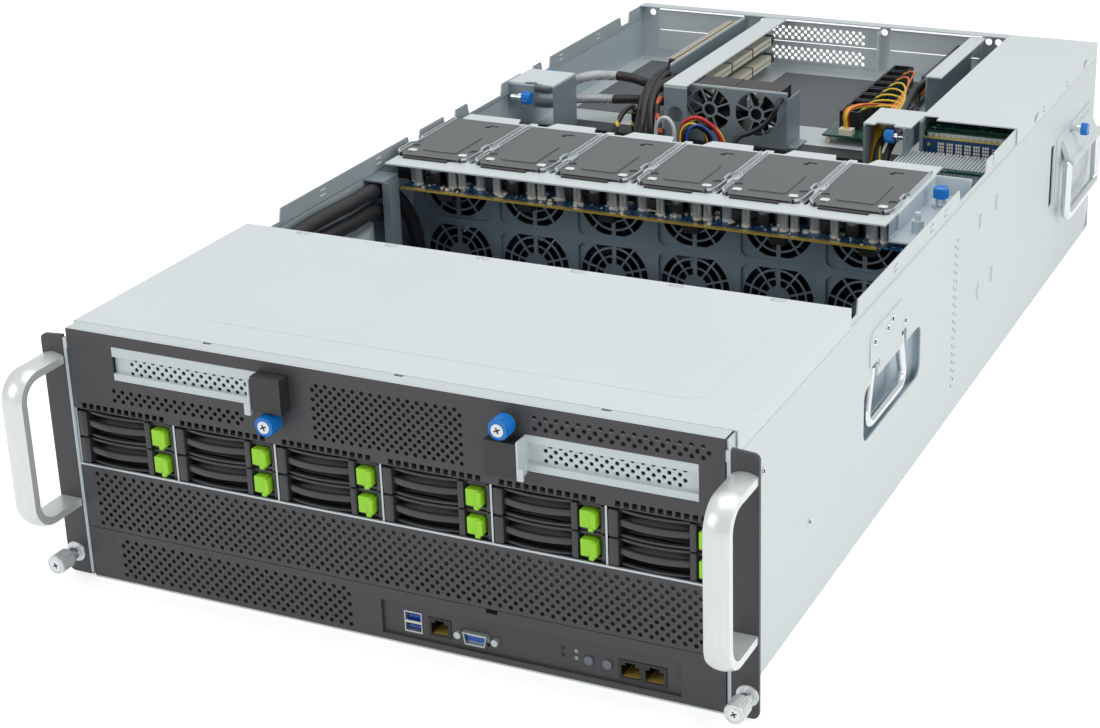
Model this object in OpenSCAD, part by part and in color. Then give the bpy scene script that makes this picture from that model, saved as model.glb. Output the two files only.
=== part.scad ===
// Four-unit rack server for accelerators: a sheet-metal chassis with a hot-swap
// drive cage and grilles in front, a wall of twelve fans across the middle,
// risers, a power board and stacked power supplies at the back.
// X runs across the rack, Y from the front to the back, Z up.

/* [Chassis] */
// Width of the chassis between the outer faces of its side walls
body_w = 448; // [444:1:452]
// Height of the chassis
body_h = 175.2; // [174:0.2:177]
// Depth from the ear plates to the back panel
body_d = 900; // [880:5:960]
// Thickness of the sheet steel
sheet = 1.2; // [1:0.1:1.5]
// How far below the top the side walls step inwards under the covers
step_drop = 14.7; // [12.5:0.1:16]
// Thickness of the covers
cover_t = 1; // [0.8:0.1:1.2]
// Depth of the front cover
cover_d = 195; // [180:1:205]

/* [Rack mounting] */
// Width of an ear plate
ear_w = 16.7; // [16:0.1:18]
// How much shorter an ear plate is than the chassis is high
ear_trim = 6.6; // [5:0.1:9]
// Thickness of an ear plate
ear_t = 2.5; // [2:0.1:3]
// Height of the rack screws above the floor
rack_screw_z = 16; // [14:0.5:20]
// How far the carrying handles stand out in front
handle_reach = 45.5; // [35:0.5:55]
// Height of a carrying handle
handle_h = 108.5; // [90:0.5:120]
// Width of the handle bar
handle_w = 15.5; // [12:0.5:16]
// Thickness of the handle bar
handle_t = 7; // [5:0.5:8]

/* [Drive bays] */
// Columns of drive trays
bay_cols = 6; // [6:1:6]
// Width of the front that the tray columns leave over
bay_edge = 5.2; // [5:0.1:6]
// Distance between two rows of trays
bay_pitch_z = 18.5; // [18.2:0.1:19]
// Distance from the top of the chassis down to the shelf under the trays
bay_drop = 94.2; // [93.6:0.1:95]
// Depth of the drive cage
bay_d = 160; // [155:1:170]
// Height of one tray
tray_h = 17.6; // [17:0.1:17.8]
// Length of the slides of a tray
tray_d = 150; // [145:1:152]

/* [Front grilles] */
// Distance between holes in a row of the large grilles
hole_pitch = 7; // [6.8:0.1:8]
// Radius of a hole in the large grilles
hole_r = 1.5; // [1.2:0.1:1.7]
// Height of the seam between the lower door and the middle grille
seam_z = 37; // [36:0.5:39]

/* [Fans] */
// Share of the width that one column of fans takes
fan_share = 0.152; // [0.1505:0.0005:0.1525]
// Height that the two rows of fans leave over
fan_room = 55.2; // [55:0.2:58]
// Gap between the two rows of fans
fan_gap = 0.2; // [0.1:0.1:0.6]
// Height of the underside of the lower fans
fan_floor = 47.6; // [47:0.2:48]
// How far in front of the middle of the depth the fan wall stands
fan_ahead = 13; // [8:1:18]
// Depth of a fan
fan_depth = 56; // [50:1:60]
// Radius of a fan's motor shaft
shaft_r = 1.5; // [1:0.1:2]
// Running clearance round a shaft or hinge rod
run_gap = 0.05; // [0.02:0.01:0.1]

/* [Side lift handles] */
// Length of the front bail between its legs
bail_front_w = 64; // [56:1:70]
// Length of the rear bail between its legs
bail_rear_w = 112; // [90:1:114]
// Drop of the front bail from its hinge
bail_front_drop = 36; // [32:1:38]
// Drop of the rear bail from its hinge
bail_rear_drop = 47; // [40:1:48]
// Radius of the hinge rod
rod_r = 3; // [2.5:0.1:3.2]

/* [Rear] */
// Distance from the top of the chassis down to the rear shelf
shelf_drop = 53.2; // [52.6:0.1:54]
// Length of the rear shelf
shelf_l = 248; // [240:1:252]
// Width of one power supply
psu_w = 73.5; // [72:0.5:74]
// Height that the four power supplies leave over
psu_room = 12; // [12:0.2:14]
// Length of one power supply
psu_l = 185; // [175:1:190]
// Size of an auxiliary fan
aux_size = 42; // [41:0.5:42]
// Depth of an auxiliary fan
aux_depth = 28; // [25:1:32]

/* [Hidden] */

light = [0.80, 0.83, 0.84]; inner = [0.44, 0.50, 0.53]; charcoal = [0.2, 0.2, 0.21];
black = [0.09, 0.09, 0.1]; lime = [0.6, 0.9, 0.25]; blue = [0.05, 0.45, 0.85];
pcb = [0.03, 0.2, 0.45]; silver = [0.75, 0.76, 0.78]; chrome = [0.85, 0.85, 0.86];

W2 = body_w/2;
IN = W2 - sheet;                      // inner face of a side wall
flange_x = W2 - cover_t - 0.4;        // outer face of the stepped-in flange
top_z = body_h - cover_t;             // underside of the covers
step_z = body_h - step_drop;
ear_span = body_w + 2*(ear_w + 0.6);
ear_h = body_h - ear_trim;
bay_pitch_x = (body_w - bay_edge)/bay_cols;
bay_z = body_h - bay_drop;
fan_pitch = body_w*fan_share;
fan_size = (body_h - fan_room)/2;
fan_row = fan_size + fan_gap;
fan_z = fan_floor + fan_size/2;
fan_y = body_d/2 - fan_ahead;
shelf_z = body_h - shelf_drop;
shelf_y = body_d - shelf_l;
lid_y = body_d - 282;
psu_gap = 0.8;
psu_h = (body_h - psu_room)/4 - psu_gap;
deck_z = fan_floor - 4.1;             // deck that carries the accelerators
rear_reach = body_d + 12;
y_mid = (rear_reach - handle_reach)/2;
module base() translate([0, -y_mid, 0]) children();

// ---- helpers
module bx(x0, x1, y0, y1, z0, z1) translate([x0, y0, z0]) cube([x1-x0, y1-y0, z1-z0]);
module ycyl(x, y, z, r, h, f=48) translate([x, y, z]) rotate([-90, 0, 0]) cylinder(r=r, h=h, $fn=f);
module xcyl(x, y, z, r, h, f=48) translate([x, y, z]) rotate([0, 90, 0]) cylinder(r=r, h=h, $fn=f);
module zcyl(x, y, z, r, h, f=48) translate([x, y, z]) cylinder(r=r, h=h, $fn=f);
// a plate in the XZ plane from y to y+t
module yplate(y, t) translate([0, y+t, 0]) rotate([90, 0, 0]) linear_extrude(t) children();
// a profile in the XZ plane swept from y0 to y1
module along(y0, y1) translate([0, y1, 0]) rotate([90, 0, 0]) linear_extrude(y1-y0) children();
// a plate in the YZ plane from x to x+t
module xplate(x, t) translate([x, 0, 0]) rotate([90, 0, 90]) linear_extrude(t) children();
module zplate(z, t) translate([0, 0, z]) linear_extrude(t) children();
module sym() { children(); mirror([1, 0, 0]) children(); }
function arc(cx, cy, r, a0, a1, n=5) = [for (i=[0:n]) [cx + r*cos(a0+(a1-a0)*i/n), cy + r*sin(a0+(a1-a0)*i/n)]];
function rr_pts(x0, x1, y0, y1, r) = concat(arc(x1-r, y1-r, r, 0, 90), arc(x0+r, y1-r, r, 90, 180),
  arc(x0+r, y0+r, r, 180, 270), arc(x1-r, y0+r, r, 270, 360));
module rr(x0, x1, y0, y1, r) polygon(rr_pts(x0, x1, y0, y1, r));
module rect(x0, x1, y0, y1) translate([x0, y0]) square([x1-x0, y1-y0]);
// staggered field of round holes
module field(x0, z0, nx, nz, p, r, cut_last=true)
  for (j=[0:nz-1]) for (i=[0:nx-1-((j%2==1 && cut_last) ? 1 : 0)])
    translate([x0+(i+(j%2)/2)*p, z0+j*p/2]) circle(r=r, $fn=24);
// U-shaped lance used along the flanges and the cover
module lance(l=9, w=5, g=0.9) { rect(0, l, 0, g); rect(0, l, w-g, w); rect(0, g, 0, w); }

// ---- chassis floor, walls and back
module chassis_floor() color(light) base() {
  difference() {
    union() { bx(-W2, W2, 4.2, body_d-sheet, 0, sheet); bx(-(W2-3), W2-3, 0.1, 4.3, 0, sheet-0.1); }
    for (y=[60, body_d/2, body_d-60]) for (x=[-180, 180]) zcyl(x, y, -1, 2.2, 4, 24);
  }
}

right_gaps = [[cover_d+10, cover_d+31], [fan_y+20, fan_y+95], [fan_y+112, fan_y+116]];
left_gaps = [[cover_d+10, cover_d+52], [fan_y-5, fan_y+15], [fan_y+54, fan_y+75], [fan_y+95, lid_y-23],
  [lid_y+13, lid_y+38], [lid_y+53, lid_y+72], [lid_y+224, lid_y+246]];
lances_r = [fan_y-137, fan_y-53, fan_y-19];
lances_l = [fan_y-137, fan_y-55, lid_y+90, lid_y+170];
bail_fy = 290; bail_fz = 110.5; bail_fx = W2 - 3.2;
bail_flare = 22;                      // how much wider the front bail is at its grip
pock_y0 = bail_fy-bail_front_w/2-bail_flare/2-10; pock_y1 = bail_fy+bail_front_w/2+bail_flare/2+8;
pock_z0 = bail_fz-bail_front_drop-7; pock_z1 = 106;
pock_run = 22;                        // sloped rear side of the pocket
bail_ry = body_d - 80; bail_rz = 101; bail_rx = W2 + 9;
leg_r = 3.4; leg_rr = 4;
pock_d = 15;

module wall_profile() polygon([[W2, sheet], [W2, step_z], [flange_x, step_z+1.4], [flange_x, top_z-0.2],
  [flange_x-sheet, top_z-0.2], [flange_x-sheet, step_z+1.1], [IN, step_z-0.5], [IN, sheet]]);
module flange_cut(g) for (k=g) { e = min(2.5, (k[1]-k[0])/2-1);
  xplate(W2-8, 10) polygon([[k[0], top_z+2], [k[0], top_z-0.2], [k[0]+e, step_z+4], [k[1]-e, step_z+4], [k[1], top_z-0.2], [k[1], top_z+2]]); }
module tear(y, z) xplate(W2-0.2, 1.3) { translate([y, z]) circle(r=2.4, $fn=24); polygon([[y-2.2, z+1], [y+2.2, z+1], [y+0.6, z+10], [y-0.6, z+10]]); }
// one side wall seen as the right-hand one
module one_wall(gaps, lances) difference() {
  union() {
    along(0, body_d-sheet) wall_profile();
    // hem that shows between the bezel and the ear
    bx(cage_x+div_t/2+0.1, W2+0.3, 0, ear_t, 3.4, top_z-6);
    // outward flange behind the ear
    bx(W2-0.2, ear_span/2-3, ear_t, ear_t+sheet, 3, ear_h-4);
    // hinge knuckle of the front bail
    ycyl(bail_fx, bail_fy-bail_front_w/2+leg_r+0.6, bail_fz, rod_r+1.5, bail_front_w-2*leg_r-1.2);
    // press marks
    for (p=[[76, 129], [122, 129], [76, 72], [116, 72]]) tear(fan_y+p[0], p[1]);
    // rear handle bracket and knuckle
    bx(W2-0.2, W2+1.5, bail_ry-66, bail_ry+60, 66, 126);
    along(bail_ry-bail_rear_w/2+leg_rr+0.6, bail_ry+bail_rear_w/2-leg_rr-0.6)
      polygon([[W2+1, bail_rz+20], [W2+1, bail_rz+15], [bail_rx-2.5, bail_rz+1], [bail_rx+1, bail_rz+3.4], [W2+3, bail_rz+20]]);
    ycyl(bail_rx, bail_ry-bail_rear_w/2+leg_rr+0.6, bail_rz, rod_r+1.5, bail_rear_w-2*leg_rr-1.2);
  }
  // pocket of the front bail, with a notch for each leg
  difference() {
    xplate(W2-8, 20) { rr(pock_y0, pock_y1+pock_run, pock_z0, pock_z1, 8);
      for (s=[-1, 1]) rr(bail_fy+s*bail_front_w/2-6.5, bail_fy+s*bail_front_w/2+6.5, pock_z1-20, bail_fz+7, 3); }
    ycyl(bail_fx, bail_fy-bail_front_w/2+leg_r+0.6, bail_fz, rod_r+1.5, bail_front_w-2*leg_r-1.2);
  }
  ycyl(bail_fx, bail_fy-bail_front_w/2, bail_fz, rod_r+run_gap, bail_front_w);
  ycyl(bail_rx, bail_ry-bail_rear_w/2, bail_rz, rod_r+run_gap, bail_rear_w);
  // hollow between the front knuckle and the wall behind it
  flange_cut(gaps);
  for (y=lances) xplate(W2-8, 10) translate([y, step_z+5]) lance();
  // narrow field of vent holes
  for (i=[0:17]) { xcyl(W2-6, fan_y+9, 24+i*6.5, 1.4, 12, 24); xcyl(W2-6, fan_y+15, 27.2+i*6.5, 1.4, 12, 24); }
  // slot in front of the rear handle bracket
  xplate(W2-8, 20) rr(bail_ry-82, bail_ry-71, 70, 124, 2);
  // rack screw passes the flange
  ycyl(rack_x, -1, rack_screw_z, 3.2, 8, 24);
  // rear lower corner is cut back
  xplate(W2-8, 20) polygon([[body_d-sheet-12, 0], [body_d, 0], [body_d, 14], [body_d-sheet-4, 14]]);
  // clearance for the drop of the cover skirts
  bx(W2-3, W2+1, -1, 1.6, top_z-6, top_z+2);
}
module pan_plan(e) polygon([[IN-pock_d+e, pock_y0-8+e], [IN-pock_d+e, pock_y1+2-e], [IN-5+e*0.4, pock_y1+pock_run+3-e], [IN+(e > 0 ? 1 : 0), pock_y1+pock_run+3-e], [IN+(e > 0 ? 1 : 0), pock_y0-8+e]]);
module pocket_pan() difference() {
  zplate(pock_z0-8, bail_fz+14-pock_z0+8) pan_plan(0);
  zplate(pock_z0-8+sheet, bail_fz+14-pock_z0+8-2*sheet) pan_plan(sheet);
}
// sheet that folds over the top of the front bail, held by screws
module flap() xplate(W2-0.1, 1.1) translate([bail_fy, bail_fz]) polygon([[-44, 8], [-24, 8], [-24, 2], [24, 2], [24, 8], [40, 8],
  [40, 14], [24, 32], [-38, 32], [-44, 26]]);
flap_screws = [[bail_fy-36, bail_fz+24], [bail_fy-8, bail_fz+23], [bail_fy+2, bail_fz+26], [bail_fy+31, bail_fz+14]];
module side_walls() color(light) base() {
  one_wall(right_gaps, lances_r);
  mirror([1, 0, 0]) one_wall(left_gaps, lances_l);
  sym() { pocket_pan(); flap(); }
}

psu_x0 = IN - psu_w - 2.6;            // left face of the power supplies
bay_wall_x = psu_x0 - 2 - sheet;      // wall beside the power supplies
win_z0 = shelf_z+10; win_z1 = body_h-3.7;
module rear_panel() color(light) base() {
  difference() {
    union() {
      yplate(body_d-sheet, sheet) difference() {
        union() { rect(-W2, W2, sheet, step_z); rect(-flange_x, flange_x, step_z-1, top_z); }
        rect(psu_x0-0.5, psu_x0+psu_w+0.5, sheet+0.5, sheet+5+4*(psu_h+psu_gap));
        for (x=[-(W2-19), -90, 30]) rect(x, x+ (x==-90 ? 110 : 88), win_z0, win_z1);
        rect(-200, -60, 6, 36);
        for (x=[-(W2-12), -97, 24, bay_wall_x-19.5, bay_wall_x-10.5]) translate([x, body_h-8.2]) circle(r=3.2, $fn=24);
        field(-45, 12, 22, 7, hole_pitch, hole_r+0.3);
      }
      bx(-flange_x+sheet+0.3, bay_wall_x-0.5, body_d-12, body_d, top_z, body_h);
    }
  }
}

// ---- front structure
cage_x = bay_cols*bay_pitch_x/2;
div_t = 1.2;
bay_top = bay_z + sheet + 2*bay_pitch_z + 1;
module drive_cage() color(silver) base() {
  // shelf, roof, dividers and tray ledges
  union() {
    bx(-cage_x-div_t/2, cage_x+div_t/2, 0, ear_t+0.2, bay_z, bay_z+sheet);
    bx(-IN, IN, ear_t+0.1, bay_d, bay_z, bay_z+sheet);
    bx(-IN, IN, ear_t+0.1, bay_d, bay_top, bay_top+sheet);
    for (i=[0:bay_cols]) {
      x = -cage_x + i*bay_pitch_x;
      bx(x-div_t/2, x+div_t/2, 1, bay_d, bay_z+sheet-0.1, bay_top+0.1);
      for (s=[-1, 1]) if (i+s*0.5 > 0 && i+s*0.5 < bay_cols)
        bx(min(x, x+s*2.4), max(x, x+s*2.4), 10, bay_d, bay_z+sheet+bay_pitch_z-0.9, bay_z+sheet+bay_pitch_z-0.1);
    }
  }
  // drive backplane
  color(pcb) bx(-cage_x+2, cage_x-2, bay_d, bay_d+1.6, bay_z-20, bay_top+10);
  // front cross strip under the cover edge
  difference() {
    union() { bx(-flange_x+sheet+0.2, flange_x-sheet-0.2, 1.6, 12, top_z, body_h);
      bx(-flange_x+sheet+0.2, flange_x-sheet-0.2, 1.6, 2.8, top_z-7, top_z+0.1); }
    for (x=[-126, 8, 142]) bx(x, x+6, 9.8, 13, top_z-1, body_h+1);
    ycyl(knob_r[0], -1, knob_r[1], 3.4, 8, 24);
  }
}

rack_x = ear_span/2 - ear_w/2 + 1;
module rack_ears() color(charcoal) base() sym() difference() {
  yplate(0, ear_t) polygon(concat(arc(ear_span/2-4, ear_t/2+ear_h-5, 4, 0, 90), [[W2+0.6, ear_h+1.2], [W2+0.6, 1.2]],
    arc(ear_span/2-4, 5.2, 4, 270, 360)));
  ycyl(rack_x, -1, rack_screw_z, 3.2, 8, 24);
}

// D-section bow
bow_r = 20;
handle_zc = ear_h - 65.4;
module bow_section() intersection() {                      // x: across the bar, y: outwards
  translate([-handle_w/2, 0]) square([handle_w, handle_t]);
  translate([0, handle_t-16]) circle(r=16, $fn=96);
}
module bow() {
  h = handle_h; R = bow_r;
  translate([0, 0, 0]) {
    // front bar
    translate([0, -(handle_reach-handle_t), -(h/2-R)]) mirror([0, 1, 0]) linear_extrude(h-2*R) bow_section();
    // bends and legs
    for (s=[-1, 1]) translate([0, -(handle_reach-R), s*(h/2-R)]) {
      rotate([0, 90, 0]) rotate([0, 0, s > 0 ? 180 : 270]) rotate_extrude(angle=90, $fn=96) translate([R-handle_t, 0]) rotate([0, 0, -90]) bow_section();
    }
    for (s=[-1, 1]) translate([0, 0, s*(h/2-handle_t)]) rotate([90, 0, 0]) scale([1, s, 1]) linear_extrude(handle_reach-R) bow_section();
  }
}
module front_handles() color([0.86, 0.87, 0.88]) base() sym() translate([W2+0.6+handle_w/2+0.6, 0, handle_zc]) bow();

// ---- thumbscrews: collar, shaft, knob
module screw_y(x, y, z, r, l, s_r, deep) { // points to -Y from the face at y
  ycyl(x, y-l, z, r, l*0.58);
  ycyl(x, y-l*0.43, z, s_r+0.9, l*0.43-1);
  ycyl(x, y-1, z, r*0.92, 1);
  ycyl(x, y-l*0.5, z, s_r, l*0.5+deep, 32);
}
knob_l = [-(W2-154), body_h-36.7]; knob_r = [W2-136, body_h-11.7];
tray_fz = fan_z+fan_row+fan_size/2-12.8;  // floor of the recess beside the fans
knob_t = [W2-19, fan_y+33];
module thumbscrews() base() {
  // rack screws: thin neck through the ear, thread behind it
  color(silver) for (s=[-1, 1]) { screw_y(s*rack_x, 0, rack_screw_z, 6.6, 24, 2.3, 6); ycyl(s*rack_x, 5, rack_screw_z, 2.9, 8, 32); }
  color(blue) screw_y(knob_l[0], 0, knob_l[1], 6.8, 15, 2.2, 4);
  color(blue) screw_y(knob_r[0], 0, knob_r[1], 6.8, 15, 2.2, 4);
  // recess knob, upright
  color(blue) { zcyl(knob_t[0], knob_t[1], tray_fz+9, 5.6, 7); zcyl(knob_t[0], knob_t[1], tray_fz, 3.2, 9.1); }
  // left riser knobs
  color(blue) { xcyl(-(W2-18), lid_y-20, top_z-11.2, 5.6, 8); xcyl(-(W2-14), lid_y-20, top_z-11.2, 3.6, 4.1); xcyl(-flange_x+sheet, lid_y-20, top_z-11.2, 2.4, flange_x-sheet-W2+14.1); }
  color(blue) { xcyl(-(W2-14), lid_y+37, top_z-7.2, 5.2, 7); xcyl(-flange_x+sheet, lid_y+37, top_z-7.2, 2.4, flange_x-sheet-W2+14.1); }
  // knob beside the power board
  color(blue) translate([bay_wall_x-21.5, lid_y-17, top_z-11.2]) { xcyl(0, 0, 0, 5.6, 9); xcyl(8.9, 0, 0, 3.6, 6.1); xcyl(14.9, 0, 0, 2.4, 4); }
  // rear lift bracket knobs
  color(blue) sym() { xcyl(W2+10, bail_ry-20, bail_rz+23, 5.4, 7); xcyl(W2+1.5, bail_ry-20, bail_rz+23, 3, 8.6); }
  // small screws: flaps, right wall, clamp
  color(silver) sym() for (p=flap_screws) { xcyl(W2+1, p[0], p[1], 3.4, 1.4, 32); xcyl(W2+2.3, p[0], p[1], 2, 0.8, 24); }
  color(silver) for (p=[[132, 61.5], [52, 132.6]]) { xcyl(W2, p[0], p[1], 2.6, 1.1, 24); xcyl(W2+1, p[0], p[1], 1.5, 0.5, 24); }
  color(silver) ycyl(knob_l[0]+10, -1.6, knob_l[1]+0.5, 3, 1.6, 24);
}

// ---- covers
module front_cover() color(light) base() difference() {
  union() {
    bx(-W2, W2, 12.4, 12.4+cover_d, top_z, body_h);
    sym() bx(W2-cover_t, W2, 12.4, 12.4+cover_d, step_z+1, top_z+0.1);
    bx(-flange_x+sheet+1, flange_x-sheet-1, 12.4+cover_d-cover_t, 12.4+cover_d, top_z-6, top_z+0.1);
    zplate(body_h-0.05, 0.35) rr(-150, 190, 42, 172, 12);
  }
  for (i=[-3:2]) zplate(top_z-0.5, 3) translate([i*70.4+31, 12.4+cover_d-5.4]) lance(10, 3.6, 0.8);
}
module rear_cover() color(light) base() difference() {
  union() {
    bx(bay_wall_x, W2, lid_y, body_d, top_z, body_h);
    bx(W2-cover_t, W2, lid_y, body_d, step_z+1, top_z+0.1);
  }
  bx(bay_wall_x-1, bay_wall_x+14, lid_y-1, lid_y+9, top_z-1, body_h+1);
  for (y=[lid_y+58, lid_y+232]) xplate(W2-3, 6) { translate([y, top_z-7.2]) circle(r=3.4, $fn=24); polygon([[y, top_z-8.8], [y+9, top_z-5.6], [y+9, top_z-2.6], [y, top_z-5.6]]); }
  for (y=[lid_y+82, lid_y+164]) xplate(W2-3, 6) translate([y, top_z-9.2]) lance(7, 4.4, 0.8);
}

// ---- front panels
slot_l = [-(W2-36), -(W2-143.6), body_h-30.7, body_h-7.9];
slot_r = [W2-126.6, W2-18.5, body_h-41.7, body_h-18.2];
module upper_bezel() color(charcoal) base() yplate(0, 1.5) difference() {
  rect(-(W2-2.8), W2-2.8, bay_top+0.6, body_h);
  rect(slot_l[0], slot_l[1], slot_l[2], slot_l[3]);
  rect(slot_r[0], slot_r[1], slot_r[2], slot_r[3]);
  for (c=[0:bay_cols-1]) for (i=[0:(c==5 ? 10 : 11)]) rect(-cage_x+6.2+c*bay_pitch_x+i*5.3, -cage_x+9.6+c*bay_pitch_x+i*5.3, bay_top+1.3, bay_top+5);
  field(-(W2-34.7), body_h-44.6, 15, 3, 6.5, 1.45, false);
  field(W2-119.3, body_h-13.8, 16, 3, 6.9, 1.45, false);
  field(-43, body_h-44.5, 17, 12, 6.2, 1.4);
  translate(knob_l) circle(r=2.4, $fn=24);
  translate(knob_r) circle(r=2.4, $fn=24);
}
grille_n = floor((2*(W2-2.6)-13)/hole_pitch);
module middle_grille() color(charcoal) base() yplate(0, 1.5) difference() {
  rect(-(W2-2.8), W2-2.8, seam_z+0.2, bay_z-0.1);
  field(-(grille_n-1)*hole_pitch/2, seam_z+4.2, grille_n, floor((bay_z-seam_z-5)/hole_pitch*2), hole_pitch, hole_r);
}
io = [-5.5, 193.3, 5.3, 28.2];
io_y = 2;                             // face of the recessed panel
usb = [9.4, 21.6, 8.6, 23]; rj = [26, 41.6, 9.2, 21.8]; vga = [50.6, 67.4, 10, 18.4]; rj2 = [152.6, 183.6, 7.8, 21];
btn = [[133.6, 15.6], [145.6, 15.6]];
leds = [[116.5, 19.7], [116.5, 15.3], [125.5, 19.9], [125.5, 15.2]];
module tray_door() color(charcoal) base() {
  yplate(0, 1.5) difference() {
    rect(-(W2-2.8), W2-2.8, sheet+0.1, seam_z-0.2);
    rect(io[0], io[1], io[2], io[3]);
    field(-196, 6, 25, 8, hole_pitch, hole_r);
    rect(67, 75, seam_z-3, seam_z);
  }
  // recessed connector panel with its rim
  difference() {
    union() { bx(io[0]-4, io[1]+4, io_y, io_y+sheet, io[2]-3, io[3]+3); bx(io[0]-4, io[1]+4, 1.5, io_y+0.1, io[2]-3, io[3]+3); }
    bx(io[0], io[1], 0, io_y, io[2], io[3]);
    for (p=[usb, rj, vga, rj2]) bx(p[0]-0.15, p[1]+0.15, 0, 6, p[2]-0.15, p[3]+0.15);
    for (p=btn) ycyl(p[0], 0, p[1], 3.1, 8, 32);
    for (p=leds) ycyl(p[0], 0, p[1], 1.35, 8, 24);
    for (x=[47, 72.3]) ycyl(x, 0, 14.8, 2.4, 8, 24);
  }
}
// open-fronted socket shell
module shell(p, y0, y1, t, holes) difference() {
  bx(p[0], p[1], y0, y1, p[2], p[3]);
  for (h=holes) bx(h[0], h[1], y0-1, y1-3, h[2], h[3]);
}
module front_ports() base() {
  color(silver) shell(usb, io_y-0.4, 20, 0.6, [[usb[0]+0.7, usb[1]-0.7, 9.6, 14.9], [usb[0]+0.7, usb[1]-0.7, 16.7, 22]]);
  color(blue) for (z=[10.6, 17.7]) bx(usb[0]+1.6, usb[1]-1.6, io_y+2, 17.2, z, z+2);
  color(silver) shell(rj, io_y-0.4, 20, 0.8, [[rj[0]+2, rj[1]-2, rj[2]+1.4, rj[3]-3.4], [rj[0]+4.6, rj[1]-4.6, rj[3]-4, rj[3]-1.4]]);
  color(silver) shell(rj2, io_y-0.4, 22, 0.8, [for (k=[0:1]) each [[rj2[0]+2+k*15.4, rj2[0]+13.6+k*15.4, rj2[2]+1.6, rj2[3]-3.6], [rj2[0]+4.6+k*15.4, rj2[0]+11+k*15.4, rj2[3]-4.2, rj2[3]-1.6]]]);
  // display socket: D-shaped shell, insert and posts
  color(silver) difference() {
    translate([0, 14, 0]) rotate([90, 0, 0]) linear_extrude(15.4) polygon([[vga[0]+0.2, vga[3]-0.2], [vga[1]-0.2, vga[3]-0.2], [vga[1]-1.8, vga[2]+0.2], [vga[0]+1.8, vga[2]+0.2]]);
    translate([0, 10, 0]) rotate([90, 0, 0]) linear_extrude(14) polygon([[vga[0]+0.9, vga[3]-0.9], [vga[1]-0.9, vga[3]-0.9], [vga[1]-2.3, vga[2]+0.9], [vga[0]+2.3, vga[2]+0.9]]);
  }
  color(blue) translate([0, 10, 0]) rotate([90, 0, 0]) linear_extrude(9.4) polygon([[vga[0]+1.4, vga[3]-1.4], [vga[1]-1.4, vga[3]-1.4], [vga[1]-2.8, vga[2]+1.4], [vga[0]+2.8, vga[2]+1.4]]);
  color(silver) for (x=[47, 72.3]) { ycyl(x, -1.2, 14.8, 2.3, 4.4, 24); }
  color(silver) bx(44, 75.3, io_y+sheet, io_y+sheet+0.8, 11.6, 18) ;
  color([0.2, 0.3, 0.2]) for (p=leds) ycyl(p[0], io_y-0.3, p[1], 1.3, 6, 24);
}

// ---- expansion slot brackets and clamps
// channel whose pierced web lies behind its front strips
module slot_bracket(s, side, top, y=3) {   // s = opening, side = end with the flange
  x0 = s[0]+0.2; x1 = s[1]-0.2; fx = side < 0 ? x0 : x1-sheet;
  z0 = s[2]+0.2; z1 = s[3]-0.2;
  difference() {
    union() {
      bx(x0, x1, 0.2, y+0.1, z0, z0+4.6);
      bx(x0, x1, 0.2, y+0.1, z1-top, z1);
      bx(x0, x1, y, y+1, z0, z1);
      bx(fx, fx+sheet, -11, y+1, z0-1.6, z1-0.6);
      bx(fx-(side < 0 ? 0 : 3), fx+sheet+(side < 0 ? 3 : 0), -11, -10, z0-1.6, z0+6);
    }
    yplate(y-0.5, 2) field(side < 0 ? x0+12 : x0+12.4, z1-top-1.4-9.6, 14, 4, 6.4, 1.35, false);
    bx(fx-1, fx+sheet+1, -0.1, 1.6, z0-3, z0-0.1);
  }
}
module rear_bracket(x0, x1, z0, z1, holes) difference() {
  union() { yplate(body_d-sheet-1, 1) rect(x0, x1, z0, z1); bx(x1-1, x1, body_d-sheet-10, body_d-sheet, z0, z1); }
  if (holes) yplate(body_d-sheet-2, 3) field(x0+5, z0+3.5, 15, 4, 6.4, 1.7);
}
module clamp_box(x0, x1, z0, z1) difference() {
  bx(x0, x1, -10, 0, z0, z1);
  bx(x0+1, x1-1, -9, 1, z0+1, z1-1);
}
module slot_brackets() base() {
  color(light) { slot_bracket(slot_l, 1, 6.4); slot_bracket(slot_r, -1, 5.2); }
  color(charcoal) { clamp_box(slot_l[1]+0.6, slot_l[1]+21, slot_l[2]+1.5, slot_l[3]+1.3); clamp_box(slot_r[0]-21, slot_r[0]-0.6, slot_r[2]-1.5, slot_r[3]-2.6); }
  color(light) for (k=[0:1]) rear_bracket(-91, 21, win_z0-1+k*20, win_z0+18+k*20, true);
  color(light) for (k=[0:1]) for (x=[-(W2-18), 29]) rear_bracket(x, x+90, win_z0-1+k*20, win_z0+18+k*20, false);
}

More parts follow.
